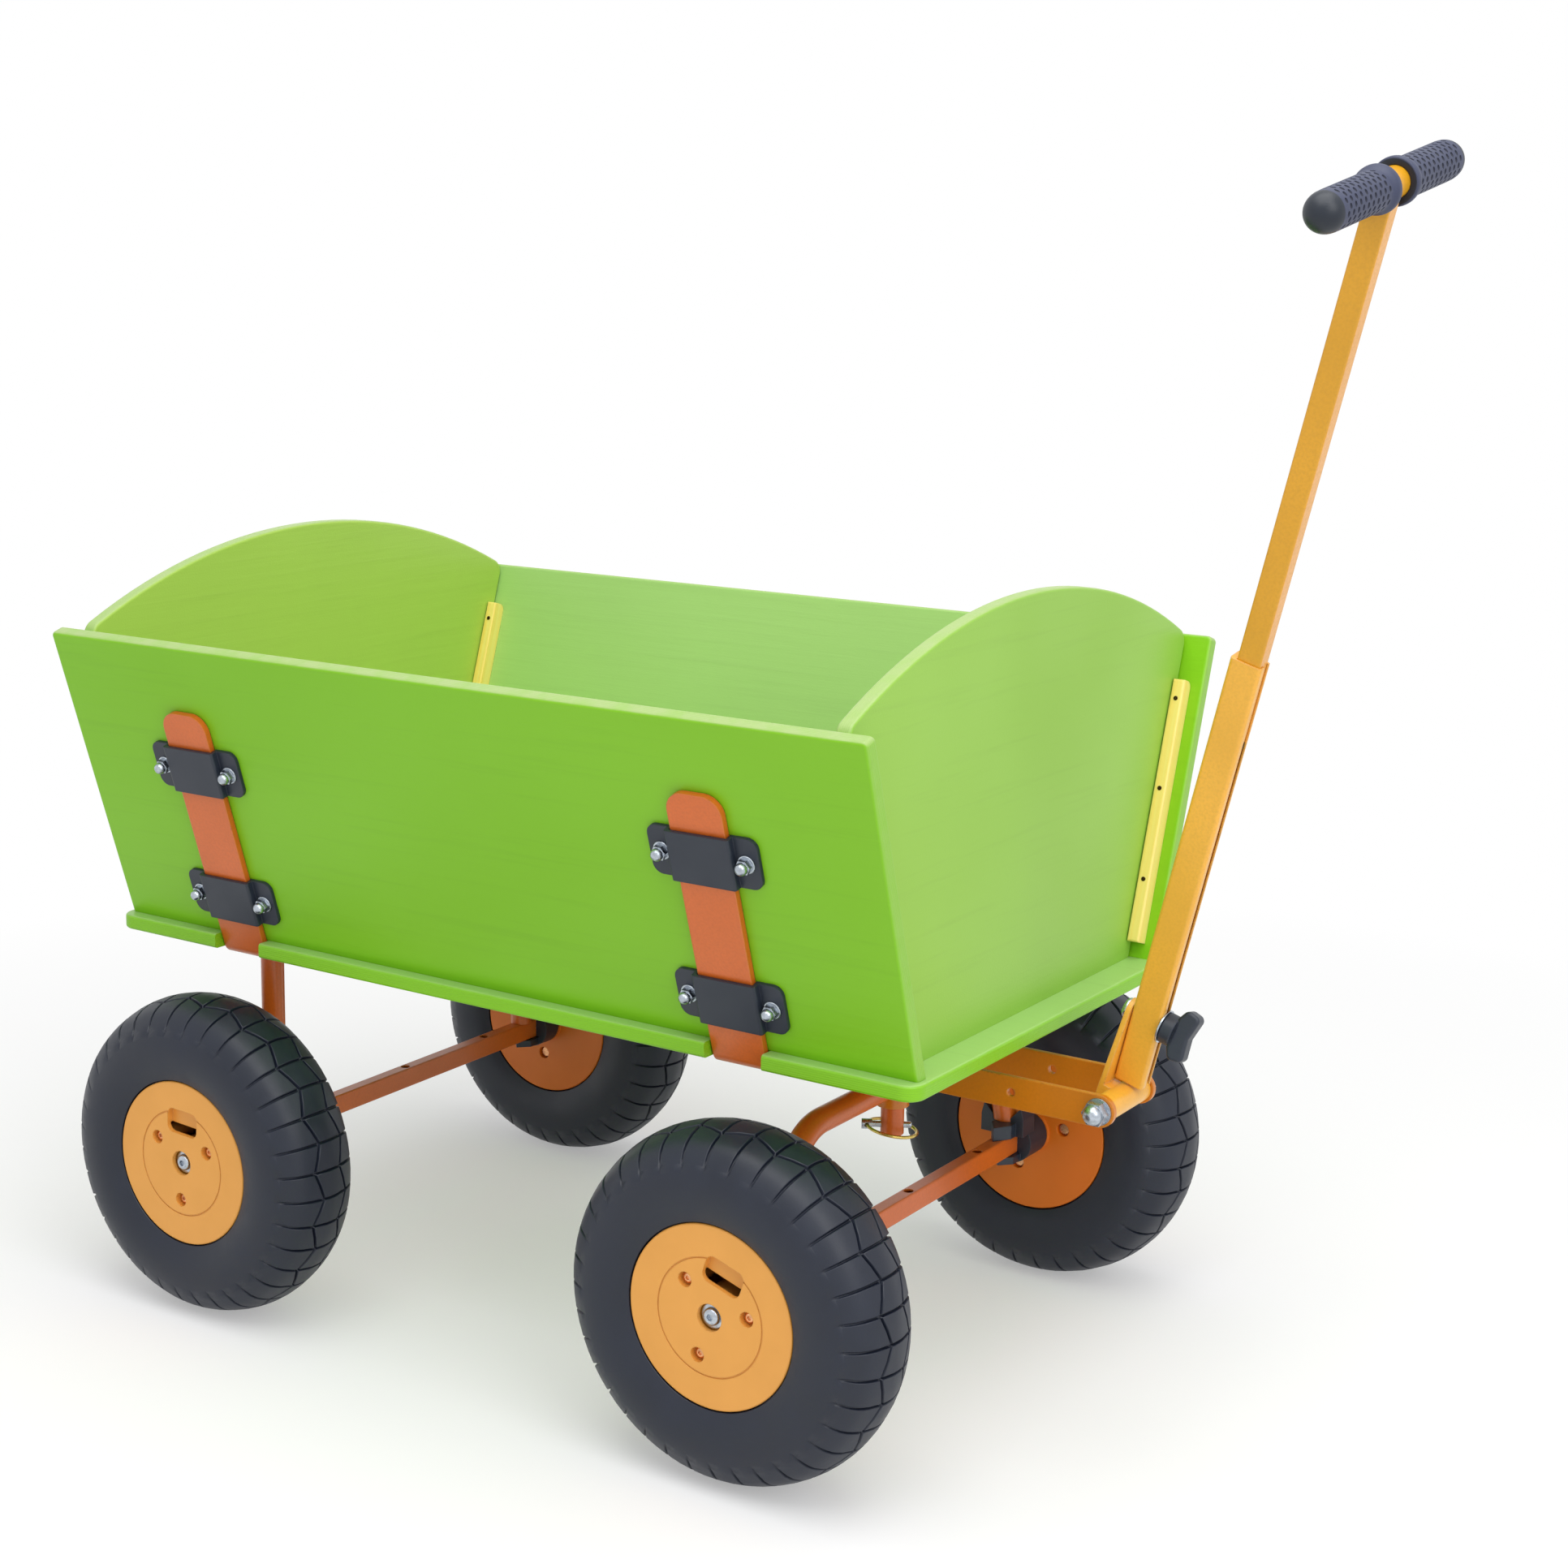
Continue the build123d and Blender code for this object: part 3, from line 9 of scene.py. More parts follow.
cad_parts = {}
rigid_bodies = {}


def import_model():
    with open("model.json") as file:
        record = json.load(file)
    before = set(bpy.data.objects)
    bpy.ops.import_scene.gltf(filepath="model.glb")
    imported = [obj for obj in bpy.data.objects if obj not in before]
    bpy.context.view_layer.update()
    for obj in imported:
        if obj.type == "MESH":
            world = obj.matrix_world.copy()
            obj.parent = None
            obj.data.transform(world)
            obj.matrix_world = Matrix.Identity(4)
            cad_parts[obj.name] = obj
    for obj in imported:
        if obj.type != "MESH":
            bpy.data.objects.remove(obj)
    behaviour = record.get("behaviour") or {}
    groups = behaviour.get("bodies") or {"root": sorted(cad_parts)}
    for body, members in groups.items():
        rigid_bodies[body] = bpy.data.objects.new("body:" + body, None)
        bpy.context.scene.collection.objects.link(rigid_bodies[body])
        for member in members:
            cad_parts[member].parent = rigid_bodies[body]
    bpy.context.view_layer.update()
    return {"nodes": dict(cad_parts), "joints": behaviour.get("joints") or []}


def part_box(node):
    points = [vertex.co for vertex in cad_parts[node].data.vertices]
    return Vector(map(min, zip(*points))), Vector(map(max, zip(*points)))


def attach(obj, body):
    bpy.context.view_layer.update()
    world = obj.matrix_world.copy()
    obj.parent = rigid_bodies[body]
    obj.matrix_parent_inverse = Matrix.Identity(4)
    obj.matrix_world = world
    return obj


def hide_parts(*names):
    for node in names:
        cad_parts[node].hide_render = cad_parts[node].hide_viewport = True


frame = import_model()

bl_info = {
    "name": "Hand-pulled wagon",
    "version": (1, 0, 0),
    "blender": (4, 5, 0),
    "location": "View3D > Sidebar > Wagon",
    "description": "Finishes a packed CAD wagon: treaded tyres, dimpled grips, paint and studio",
    "category": "Object",
}

JOINTS = {joint["name"]: joint for joint in frame["joints"]}
WHEELS = ("wheel_front_left", "wheel_front_right", "wheel_rear_left", "wheel_rear_right")
SIDES = ("right", "left")


def paint(red, green, blue):
    """Linear colour of a paint given as it looks on a screen, 0 to 255."""
    shares = [value / 255 for value in (red, green, blue)]
    return [s / 12.92 if s <= 0.04045 else ((s + 0.055) / 1.055) ** 2.4 for s in shares]


def colour(name, description, default):
    return FloatVectorProperty(
        name=name, description=description, default=default, subtype="COLOR", size=3, min=0.0, max=1.0
    )


def length(name, description, default):
    return FloatProperty(
        name=name, description=description, default=default, min=0.0, precision=5, unit="LENGTH"
    )


def count(name, description, default, least):
    return IntProperty(name=name, description=description, default=default, min=least)


class WagonColours(bpy.types.PropertyGroup):
    """Paints and materials of the wagon."""

    green: colour("Panel green", "Paint outside the side panels and on the floor", paint(130, 196, 22))
    # Paler green inside the load box is painted light: it stands in for the light and sheen on the box's inner
    # faces.
    green_inside_lit: colour("Inside green", "Paler paint inside the load box", paint(166, 208, 118))
    # End green is paler than the sides' green: a painted sheen on the end panels.
    green_end_sheened: colour("End green", "Paint outside the end panels", paint(150, 199, 76))
    # The inner end green is painted light too: lighter paint on the shaded inner faces of the end panels.
    green_end_inside_lit: colour("Inner end green", "Paint inside the end panels", paint(171, 205, 85))
    # Panel edge colour is a painted highlight on the panels' cut edges, strongest on edges that face up.
    green_edge_highlight: colour("Panel edge", "Thin paint on the panels' cut edges", paint(170, 196, 122))
    strap: colour("Strap orange", "Powder coat of straps, legs, arch and axles", paint(220, 106, 30))
    # Strap edge colour is a painted highlight along the straps' edges.
    strap_edge_highlight: colour("Strap edge", "Thin powder coat along the straps' edges", paint(246, 156, 74))
    steering: colour("Fork orange", "Powder coat of fork and head tube", paint(218, 128, 14))
    # Fork edge colour is a painted highlight along the fork's edges.
    steering_edge_highlight: colour("Fork edge", "Thin powder coat along the fork's edges", paint(246, 160, 70))
    amber: colour("Drawbar amber", "Powder coat of the lower drawbar", paint(250, 184, 62))
    gold: colour("Drawbar gold", "Powder coat of the upper drawbar and handle bar", paint(228, 164, 26))
    # Drawbar edge colour is a painted highlight along the drawbar's edges and on the upper tube's narrow
    # faces.
    amber_edge_highlight: colour("Drawbar edge", "Thin powder coat along the drawbar's edges", paint(250, 184, 128))
    pine: colour("Batten yellow", "Varnished battens", paint(255, 230, 132))
    pine_grain: colour("Batten grain", "Darker grain in the battens", paint(255, 208, 78))
    slate: colour("Black plastic", "Keepers, knob, axle blocks and plugs", paint(38, 45, 58))
    grip: colour("Grip rubber", "Handle grips", paint(56, 62, 88))
    # Grip dimples are darker as painted shade in the hollows.
    grip_dimple_shade: colour("Grip dimples", "Sunk dimples of the handle grips", paint(32, 36, 54))
    # Grip ends: darker on the domed ends, and painted shade on the inner faces.
    grip_end: colour("Grip ends", "Domed ends and inner faces of the handle grips", paint(24, 32, 44))
    rubber: colour("Tyre rubber", "Tyres", paint(19, 26, 42))
    rubber_worn: colour("Worn rubber", "Dusty bloom on the tyres", paint(36, 42, 58))
    rim: colour("Rim tan", "Outer rim halves", paint(234, 164, 72))
    rim_inner: colour("Rim orange", "Inner rim halves", paint(228, 116, 6))
    bush: colour("Bush yellow", "Hub bushes", paint(222, 158, 40))
    zinc: colour("Zinc", "Bolts, nuts, axle screws and the linch pin", paint(190, 198, 208))
    brass: colour("Gold zinc", "Wire ring", paint(226, 198, 112))
    copper: colour("Red zinc", "Rim screws", paint(238, 176, 128))
    screw: colour("Batten screw", "Dark screws in the battens", paint(70, 52, 34))
    floor: colour("Studio floor", "Floor under the wagon", paint(254, 254, 254))


class WagonSizes(bpy.types.PropertyGroup):
    """Sizes of the pieces that are modelled here."""

    pitches: count("Tread pitches", "Pairs of tread bars round a tyre", 18, 6)
    groove: length("Groove width", "Width of the tread grooves", 0.0024)
    groove_depth: length("Groove depth", "Depth of the tread grooves", 0.0028)
    zigzag: length("Zigzag", "Sideways reach of the zigzag grooves", 0.004)
    zigzag_out: length("Zigzag place", "Zigzag grooves, from the middle of the tread", 0.013)
    lug_end: length("Groove end", "Radius at which the cross grooves run out on the sidewall", 0.104)
    lip: length("Groove lip", "Softened lip of the grooves", 0.0004)
    dimple_rows: count("Dimple rows", "Rows of dimples along a grip", 18, 2)
    dimple_columns: count("Dimples round", "Dimples round a grip", 10, 5)
    dimple_depth: length("Dimple depth", "Depth of the grips' dimples", 0.0012)
    screw_radius: length("Screw head", "Radius of the batten screws' heads", 0.0018)


# Nodes of the materials

class Finish:
    """One material and the nodes that make it."""

    def __init__(self, name):
        self.material = bpy.data.materials.new(name)
        self.material.use_nodes = True
        self.tree = self.material.node_tree
        self.shader = self.tree.nodes["Principled BSDF"]

    def node(self, kind, inputs=None, **settings):
        """Add a node, with values or links for its inputs."""
        made = self.tree.nodes.new(kind)
        for key, value in settings.items():
            setattr(made, key, value)
        for key, value in (inputs or {}).items():
            self.feed(made.inputs[key], value)
        return made

    def feed(self, socket, value):
        """Link a node's output to a socket, or set the socket's own value."""
        if isinstance(value, bpy.types.NodeSocket):
            self.tree.links.new(value, socket)
        elif socket.type == "RGBA":
            socket.default_value = (*value[:3], 1.0)
        else:
            socket.default_value = value

    def place(self, scale=(1, 1, 1), turn=(0, 0, 0)):
        """Object coordinates, turned and stretched."""
        coords = self.node("ShaderNodeTexCoord").outputs["Object"]
        spun = self.node("ShaderNodeMapping", {"Vector": coords, "Rotation": turn}).outputs["Vector"]
        return self.node("ShaderNodeMapping", {"Vector": spun, "Scale": scale}).outputs["Vector"]

    def noise(self, where, scale, detail=3.0, rough=0.5):
        inputs = {"Vector": where, "Scale": scale, "Detail": detail, "Roughness": rough}
        return self.node("ShaderNodeTexNoise", inputs).outputs["Fac"]

    def between(self, value, low, high, to_low=0.0, to_high=1.0):
        """Stretch a range of a value to another range, and clip it there."""
        inputs = {"Value": value, "From Min": low, "From Max": high, "To Min": to_low, "To Max": to_high}
        return self.node("ShaderNodeMapRange", inputs).outputs["Result"]

    def math(self, operation, *values):
        return self.node("ShaderNodeMath", dict(enumerate(values)), operation=operation).outputs[0]

    def times(self, a, b):
        return self.math("MULTIPLY", a, b)

    def dot(self, a, b):
        return self.node("ShaderNodeVectorMath", {0: a, 1: b}, operation="DOT_PRODUCT").outputs["Value"]

    def normal(self):
        return self.node("ShaderNodeNewGeometry").outputs["Normal"]

    def mix(self, share, a, b):
        made = self.node("ShaderNodeMix", data_type="RGBA")
        self.feed(made.inputs[0], share)
        self.feed(made.inputs[6], a)
        self.feed(made.inputs[7], b)
        return made.outputs[2]

    def soft(self, radius):
        """Normal that rounds off a piece's edges."""
        return self.node("ShaderNodeBevel", {"Radius": radius}, samples=4).outputs["Normal"]

    def edges(self, soft, low=0.02, high=0.25):
        """Share that rises along a piece's edges, where the rounded normal leaves the true one."""
        return self.between(self.dot(soft, self.normal()), 1.0 - low, 1.0 - high)

    def bump(self, height, depth, under=None, strength=1.0):
        inputs = {"Height": height, "Distance": depth, "Strength": strength}
        if under:
            inputs["Normal"] = under
        return self.node("ShaderNodeBump", inputs).outputs["Normal"]

    def done(self, base, roughness, normal=None, **constants):
        """Link the shader and set the values that are the same all over."""
        self.feed(self.shader.inputs["Base Color"], base)
        self.feed(self.shader.inputs["Roughness"], roughness)
        if normal:
            self.feed(self.shader.inputs["Normal"], normal)
        for key, value in constants.items():
            self.feed(self.shader.inputs[key.replace("_", " ").title().replace("Ior", "IOR")], value)
        return self.material


BLACK = (0.0, 0.0, 0.0)
BARE_STEEL = paint(110, 78, 56)
PLY = 0.0016
END_BLEND = 0.004


def darker(tint, share):
    return [value * share for value in tint]


def panel_paint(name, tint, inside, edge_highlight, stretch, inward, ends=None):
    """Satin paint on plywood, faint grain; painted light: paler inside the box between its ends, and a painted
    highlight on cut edges.
    """
    f = Finish(name)
    where = f.place()
    facing = f.dot(f.normal(), inward)
    cloud = f.noise(where, 5.0, 2.0)
    grain = f.noise(f.place(scale=stretch), 1.0, 5.0, 0.6)
    # Painted light: faces turned into the load box, between its end panels, get the paler inside tint.
    lit_inside_share = f.between(facing, 0.3, 0.8)
    if ends:
        x = f.dot(where, (1, 0, 0))
        rear, front = ends
        past_rear = f.between(x, rear, rear + END_BLEND)
        lit_inside_share = f.times(lit_inside_share, f.times(past_rear, f.between(x, front, front - END_BLEND)))
    base = f.mix(lit_inside_share, tint, inside)
    base = f.mix(f.between(cloud, 0.3, 0.7, 0.0, 0.05), base, BLACK)
    base = f.mix(f.between(grain, 0.55, 0.75, 0.0, 0.06), base, BLACK)
    # Painted highlight: cut edges are paler, more so on upward faces where light falls, with a little random
    # rub.
    edge = f.between(f.math("ABSOLUTE", facing), 0.92, 0.6)
    rub = f.between(f.noise(where, 60.0, 4.0), 0.35, 0.6, 0.7, 1.0)
    upward = f.between(f.dot(f.normal(), (0, 0, 1)), 0.1, 0.7, 0.3, 1.0)
    base = f.mix(f.times(f.times(edge, upward), rub), base, edge_highlight)
    plies = f.math("SINE", f.times(f.dot(where, inward), 2 * math.pi / PLY))
    normal = f.bump(f.times(edge, plies), 0.00005, f.bump(grain, 0.00025))
    normal = f.bump(f.noise(where, 700.0, 2.0), 0.00006, normal)
    return f.done(base, f.between(cloud, 0.3, 0.7, 0.36, 0.5), normal, specular_ior_level=0.4)


def powder_coat(name, tint, edge_highlight, lit_way=None):
    """Powder coat on steel: fine peel and chips; painted highlights: paler edges, and paler faces that look
    one way.
    """
    f = Finish(name)
    where = f.place()
    cloud = f.noise(where, 14.0, 3.0)
    base = f.mix(f.between(cloud, 0.3, 0.7), tint, darker(tint, 0.88))
    if lit_way:
        # Painted highlight: faces turned along this way are paler.
        lit_faces = f.between(f.math("ABSOLUTE", f.dot(f.normal(), lit_way)), 0.8, 0.95, 0.0, 0.45)
        base = f.mix(lit_faces, base, edge_highlight)
    speck = f.noise(where, 520.0, 2.0)
    base = f.mix(f.between(speck, 0.4, 0.7, 0.0, 0.5), base, darker(tint, 0.8))
    soft = f.soft(0.0016)
    # Painted highlight along the edges; the bare-steel chips below are wear.
    edge = f.edges(soft)
    base = f.mix(f.times(edge, 0.55), base, edge_highlight)
    chip = f.between(f.noise(where, 160.0, 4.0, 0.7), 0.6, 0.66)
    base = f.mix(f.times(f.times(edge, chip), 0.8), base, BARE_STEEL)
    peel = f.noise(where, 900.0, 2.0)
    normal = f.bump(peel, 0.00005, f.bump(speck, 0.00006, soft))
    rough = f.between(cloud, 0.3, 0.7, 0.28, 0.4)
    return f.done(base, rough, normal, coat_weight=0.15, coat_roughness=0.15)


def moulded_plastic(name, tint, roughness, scuff=0.25):
    """Moulded plastic: fine spark grain, cloudy sheen and pale scuffs on the edges."""
    f = Finish(name)
    where = f.place()
    cloud = f.noise(where, 22.0, 3.0)
    pale = [value * 1.25 + 0.02 for value in tint]
    base = f.mix(f.between(cloud, 0.3, 0.7, 0.0, 0.6), tint, darker(tint, 0.88))
    rub = f.between(f.noise(where, 240.0, 3.0, 0.7), 0.45, 0.65)
    soft = f.soft(0.0012)
    base = f.mix(f.times(f.edges(soft), f.times(rub, scuff)), base, pale)
    spark = f.noise(where, 1500.0, 2.0)
    normal = f.bump(spark, 0.00004, soft)
    return f.done(base, f.between(cloud, 0.3, 0.7, roughness - 0.06, roughness + 0.08), normal)


def rubber(name, tint, bloom, roughness, bloom_share):
    """Black rubber with a patchy dull bloom and a fine skin."""
    f = Finish(name)
    where = f.place()
    patches = f.noise(where, 26.0, 5.0, 0.6)
    base = f.mix(f.between(patches, 0.42, 0.75, 0.0, bloom_share), tint, bloom)
    skin = f.noise(where, 1100.0, 3.0)
    normal = f.bump(skin, 0.00005, f.bump(patches, 0.00012))
    return f.done(base, f.between(patches, 0.3, 0.7, roughness - 0.08, roughness + 0.1), normal)


def plated_steel(name, tint):
    """Zinc-plated steel: fine drawn lines, dull spots and a cool sheen."""
    f = Finish(name)
    where = f.place()
    spots = f.noise(where, 300.0, 4.0)
    base = f.mix(f.between(spots, 0.4, 0.7), tint, darker(tint, 0.72))
    lines = f.noise(f.place(scale=(1.0, 1.0, 14.0)), 220.0, 2.0)
    rough = f.between(spots, 0.3, 0.7, 0.2, 0.38)
    return f.done(base, rough, f.bump(lines, 0.00003, f.soft(0.0006)), metallic=1.0)


def varnished_pine(name, tint, grain_tint, turn):
    """Yellow varnished batten with grain along its length."""
    f = Finish(name)
    rings = f.noise(f.place(scale=(260.0, 260.0, 7.0), turn=(turn, 0, 0)), 1.0, 4.0, 0.6)
    base = f.mix(f.between(rings, 0.45, 0.72, 0.0, 0.7), tint, grain_tint)
    # Painted highlight: the battens' rounded edges are paler.
    pale = [min(1.0, value * 1.05 + 0.04) for value in tint]
    soft = f.soft(0.0016)
    base = f.mix(f.times(f.edges(soft), 0.6), base, pale)
    rough = f.between(rings, 0.3, 0.7, 0.35, 0.45)
    return f.done(base, rough, f.bump(rings, 0.0001, soft), coat_weight=0.3, coat_roughness=0.2)


def wear(material, *names):
    """Put a material on CAD nodes."""
    for name in names:
        node = frame["nodes"][name]
        for slot in node.material_slots:
            slot.material = material


# Modelling helpers

def start_alone():
    """Leave edit mode with nothing selected."""
    if bpy.context.object and bpy.context.object.mode != "OBJECT":
        bpy.ops.object.mode_set(mode="OBJECT")
    bpy.ops.object.select_all(action="DESELECT")


def pick(kind, test):
    """Select what passes a test on its corner points, and nothing else, and say how many there are."""
    bpy.ops.mesh.select_mode(type=kind)
    bpy.ops.mesh.select_all(action="DESELECT")
    mesh = bpy.context.object.data
    made = bmesh.from_edit_mesh(mesh)
    items = {"VERT": made.verts, "EDGE": made.edges, "FACE": made.faces}[kind]
    found = 0
    for item in items:
        corners = [item.co] if kind == "VERT" else [corner.co for corner in item.verts]
        if test(corners):
            item.select_set(True)
            found += 1
    made.select_flush_mode()
    bmesh.update_edit_mesh(mesh)
    return found


def must(count, what):
    if not count:
        raise RuntimeError(f"nothing was found for {what}")


def weld(reach=1e-5):
    """Merge what lies together and turn all faces outwards."""
    bpy.ops.mesh.select_all(action="SELECT")
    bpy.ops.mesh.remove_doubles(threshold=reach)
    bpy.ops.mesh.normals_make_consistent(inside=False)


def start_outline(name, points):
    """New mesh object in edit mode: one vertex, extruded from point to point."""
    start_alone()
    bpy.ops.mesh.primitive_plane_add(size=0.01)
    made = bpy.context.object
    made.name = name
    made.data.name = name
    bpy.ops.object.mode_set(mode="EDIT")
    bpy.ops.mesh.select_all(action="SELECT")
    bpy.ops.mesh.merge(type="CENTER")
    bpy.ops.transform.translate(value=points[0])
    for here, there in zip(points, points[1:]):
        bpy.ops.mesh.extrude_vertices_move(TRANSFORM_OT_translate={"value": there - here})
    return made


def finish_shape(made, angle):
    """Back to object mode with smooth shading between faces that meet at less than an angle."""
    bpy.ops.object.mode_set(mode="OBJECT")
    bpy.ops.object.shade_smooth_by_angle(angle=math.radians(angle))
    return made


def apply_modifier(made, kind, **settings):
    """Add a modifier and apply it."""
    start_alone()
    made.select_set(True)
    bpy.context.view_layer.objects.active = made
    modifier = made.modifiers.new(kind.lower(), kind)
    for key, value in settings.items():
        setattr(modifier, key, value)
    bpy.ops.object.modifier_apply(modifier=modifier.name)


def copy_to(pattern, name, matrix):
    """Copy of a piece with its own mesh, moved there by its points."""
    start_alone()
    made = pattern.copy()
    made.data = pattern.data.copy()
    made.name = name
    made.data.name = name
    bpy.context.collection.objects.link(made)
    made.matrix_world = matrix
    made.select_set(True)
    bpy.context.view_layer.objects.active = made
    bpy.ops.object.transform_apply(location=True, rotation=True, scale=True)
    return made


def remove(made):
    bpy.data.objects.remove(made, do_unlink=True)


def finish_piece(made, body, slot, *replaced):
    """Give a piece its body and hide the CAD nodes that it stands for; the slot argument is not used."""
    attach(made, body)
    if replaced:
        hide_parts(*replaced)


def middle(node):
    low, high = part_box(node)
    return (Vector(low) + Vector(high)) / 2


# Tyre, made round Y at the origin

TYRE_CROWN = 0.130
TYRE_HALF = 0.0425
SHOULDER = Vector((0.119, 0.033))
RIM_EDGE = Vector((0.068, 0.036))
WIDEST = Vector((0.094, TYRE_HALF))
BEAD = Vector((0.0563, 0.0319))
TREAD_ROWS = (0.021, 0.025, 0.0285)
SHOULDER_ROWS = (Vector((0.1185, 0.0325)), Vector((0.1145, 0.0353)))
WALL_SHARES = (0.8, 0.7, 0.6, 0.5, 0.4, 0.3, 0.2, 0.1, 0.0)
COLUMN_STEPS = 4
GROOVE_RUN_OUT = 0.009
DEPTH_STEPS = 4
TYRE_TURN = math.radians(3.0)
AXLE = (0, 1, 0)


def tread_radius(y):
    """Radius of the tread at a distance from its middle."""
    sag = TYRE_CROWN - SHOULDER.x
    big = (SHOULDER.y ** 2 + sag ** 2) / (2 * sag)
    return TYRE_CROWN - big + math.sqrt(big ** 2 - y ** 2)


def arc_point(a, b, c, share):
    """Point at a share of the circle arc from a through b to c."""
    d = 2 * (a.x * (b.y - c.y) + b.x * (c.y - a.y) + c.x * (a.y - b.y))
    aa, bb, cc = a.length_squared, b.length_squared, c.length_squared
    middle_x = (aa * (b.y - c.y) + bb * (c.y - a.y) + cc * (a.y - b.y)) / d
    middle_y = (aa * (c.x - b.x) + bb * (a.x - c.x) + cc * (b.x - a.x)) / d
    hub = Vector((middle_x, middle_y))
    start = math.atan2(a.y - hub.y, a.x - hub.x)
    sweep = math.atan2(c.y - hub.y, c.x - hub.x) - start
    sweep = (sweep + math.pi) % (2 * math.pi) - math.pi
    turn = start + sweep * share
    return hub + (a - hub).length * Vector((math.cos(turn), math.sin(turn)))


def tyre_outline(zigzag_out):
    """Tyre section from one bead over the tread to the other."""
    half = [Vector((tread_radius(y), y)) for y in (0.0, zigzag_out / 3, zigzag_out, *TREAD_ROWS)]
    half += SHOULDER_ROWS
    half += [arc_point(RIM_EDGE, WIDEST, SHOULDER, share) for share in WALL_SHARES]
    half += [Vector((RIM_EDGE.x, BEAD.y)), BEAD]
    other = [Vector((p.x, -p.y)) for p in reversed(half)]
    return [Vector((p.x, p.y, 0)) for p in other + half[1:]]


def clock(p):
    """Angle of a point round the tyre, in degrees."""
    return math.degrees(math.atan2(p.z, p.x))


def reach(p):
    return math.hypot(p.x, p.z)


def spoke(angle, size):
    """Vector of a size that points out from the axle at an angle."""
    turn = math.radians(angle)
    return Vector((size * math.cos(turn), 0, size * math.sin(turn)))


class Tread:
    """Lines of the tread's grooves within one pitch, which holds two cross grooves."""

    def __init__(self, sizes):
        self.sizes = sizes
        self.pitch = 360.0 / sizes.pitches
        self.step = self.pitch / COLUMN_STEPS
        self.columns = [self.step * i for i in range(COLUMN_STEPS + 1)]
        self.cross = (self.step, 3 * self.step)

    def zigzag(self, angle, side):
        """Middle of a zigzag groove at an angle."""
        t = angle / self.step
        swing = t if t <= 1 else 2 - t if t <= 3 else t - 4
        return side * self.sizes.zigzag_out + self.sizes.zigzag * swing

    def is_groove(self, ends):
        """Whether an edge lies along a groove."""
        if min(reach(p) for p in ends) < self.sizes.lug_end:
            return False
        angles = [clock(p) for p in ends]
        if any(all(abs(a - c) < 0.3 for a in angles) for c in self.cross):
            return True
        out = abs(sum(p.y for p in ends)) / 2
        beside = abs(out - self.sizes.zigzag_out) < self.sizes.zigzag * 0.75
        return beside and abs(angles[0] - angles[1]) > 1

    def depth_share(self, p):
        """How deep a groove is at a point: full on the tread, running out on the sidewall."""
        out, angle = reach(p), clock(p)
        if out < self.sizes.lug_end:
            return 0.0
        across = math.radians(min(abs(angle - c) for c in self.cross)) * out
        slant = math.cos(math.atan2(self.sizes.zigzag, math.radians(self.step) * out))
        along = min(abs(p.y - self.zigzag(angle, side)) * slant for side in (-1, 1))
        if min(across, along) > self.sizes.groove / 4:
            return 0.0
        share = min(1.0, max(0.0, (out - self.sizes.lug_end - 0.001) / GROOVE_RUN_OUT))
        return math.ceil(share * DEPTH_STEPS - 1e-6) / DEPTH_STEPS


def model_tyre(sizes):
    """One tyre: a pitch is spun, its grooves bevelled and sunk, and the pitch copied round."""
    tread = Tread(sizes)
    made = start_outline("tyre", tyre_outline(sizes.zigzag_out))
    must(pick("VERT", lambda p: abs(p[0].x - BEAD.x) < 1e-5), "the beads")
    bpy.ops.mesh.edge_face_add()
    bpy.ops.mesh.select_all(action="SELECT")
    bpy.ops.mesh.spin(steps=COLUMN_STEPS, angle=math.radians(tread.pitch), center=(0, 0, 0), axis=AXLE)
    bpy.ops.mesh.select_all(action="SELECT")
    bpy.ops.mesh.remove_doubles(threshold=1e-6)
    for column, sign in zip(tread.cross, (1, -1)):
        for side in (-1, 1):
            row = side * sizes.zigzag_out

            def on_row(p):
                on_column = abs(clock(p[0]) - column) < 0.5
                return on_column and abs(p[0].y - row) < 1e-4 and reach(p[0]) > sizes.lug_end

            must(pick("VERT", on_row), "the zigzag")
            there = row + sign * sizes.zigzag
            drop = tread_radius(there) - tread_radius(row)
            bpy.ops.transform.translate(value=spoke(column, drop) + Vector((0, there - row, 0)))
    must(pick("EDGE", tread.is_groove), "the grooves")
    half_groove = sizes.groove / 2
    bpy.ops.mesh.bevel(offset_type="OFFSET", offset=half_groove, segments=3, profile=0.5, affect="EDGES")
    for column in tread.columns:
        for step in range(DEPTH_STEPS):
            share = (step + 1) / DEPTH_STEPS

            def in_groove(p):
                near = min(tread.columns, key=lambda c: abs(c - clock(p[0])))
                return near == column and tread.depth_share(p[0]) == share

            if pick("VERT", in_groove):
                bpy.ops.transform.translate(value=spoke(column, -sizes.groove_depth * share))
    bpy.ops.mesh.select_all(action="SELECT")
    copies = sizes.pitches - 1
    bpy.ops.mesh.spin(
        steps=copies, dupli=True, angle=math.radians(tread.pitch * copies), center=(0, 0, 0), axis=AXLE
    )
    weld(1e-4)
    finish_shape(made, 35)
    sharp = math.radians(40)
    apply_modifier(made, "BEVEL", limit_method="ANGLE", angle_limit=sharp, width=sizes.lip, segments=1)
    return made


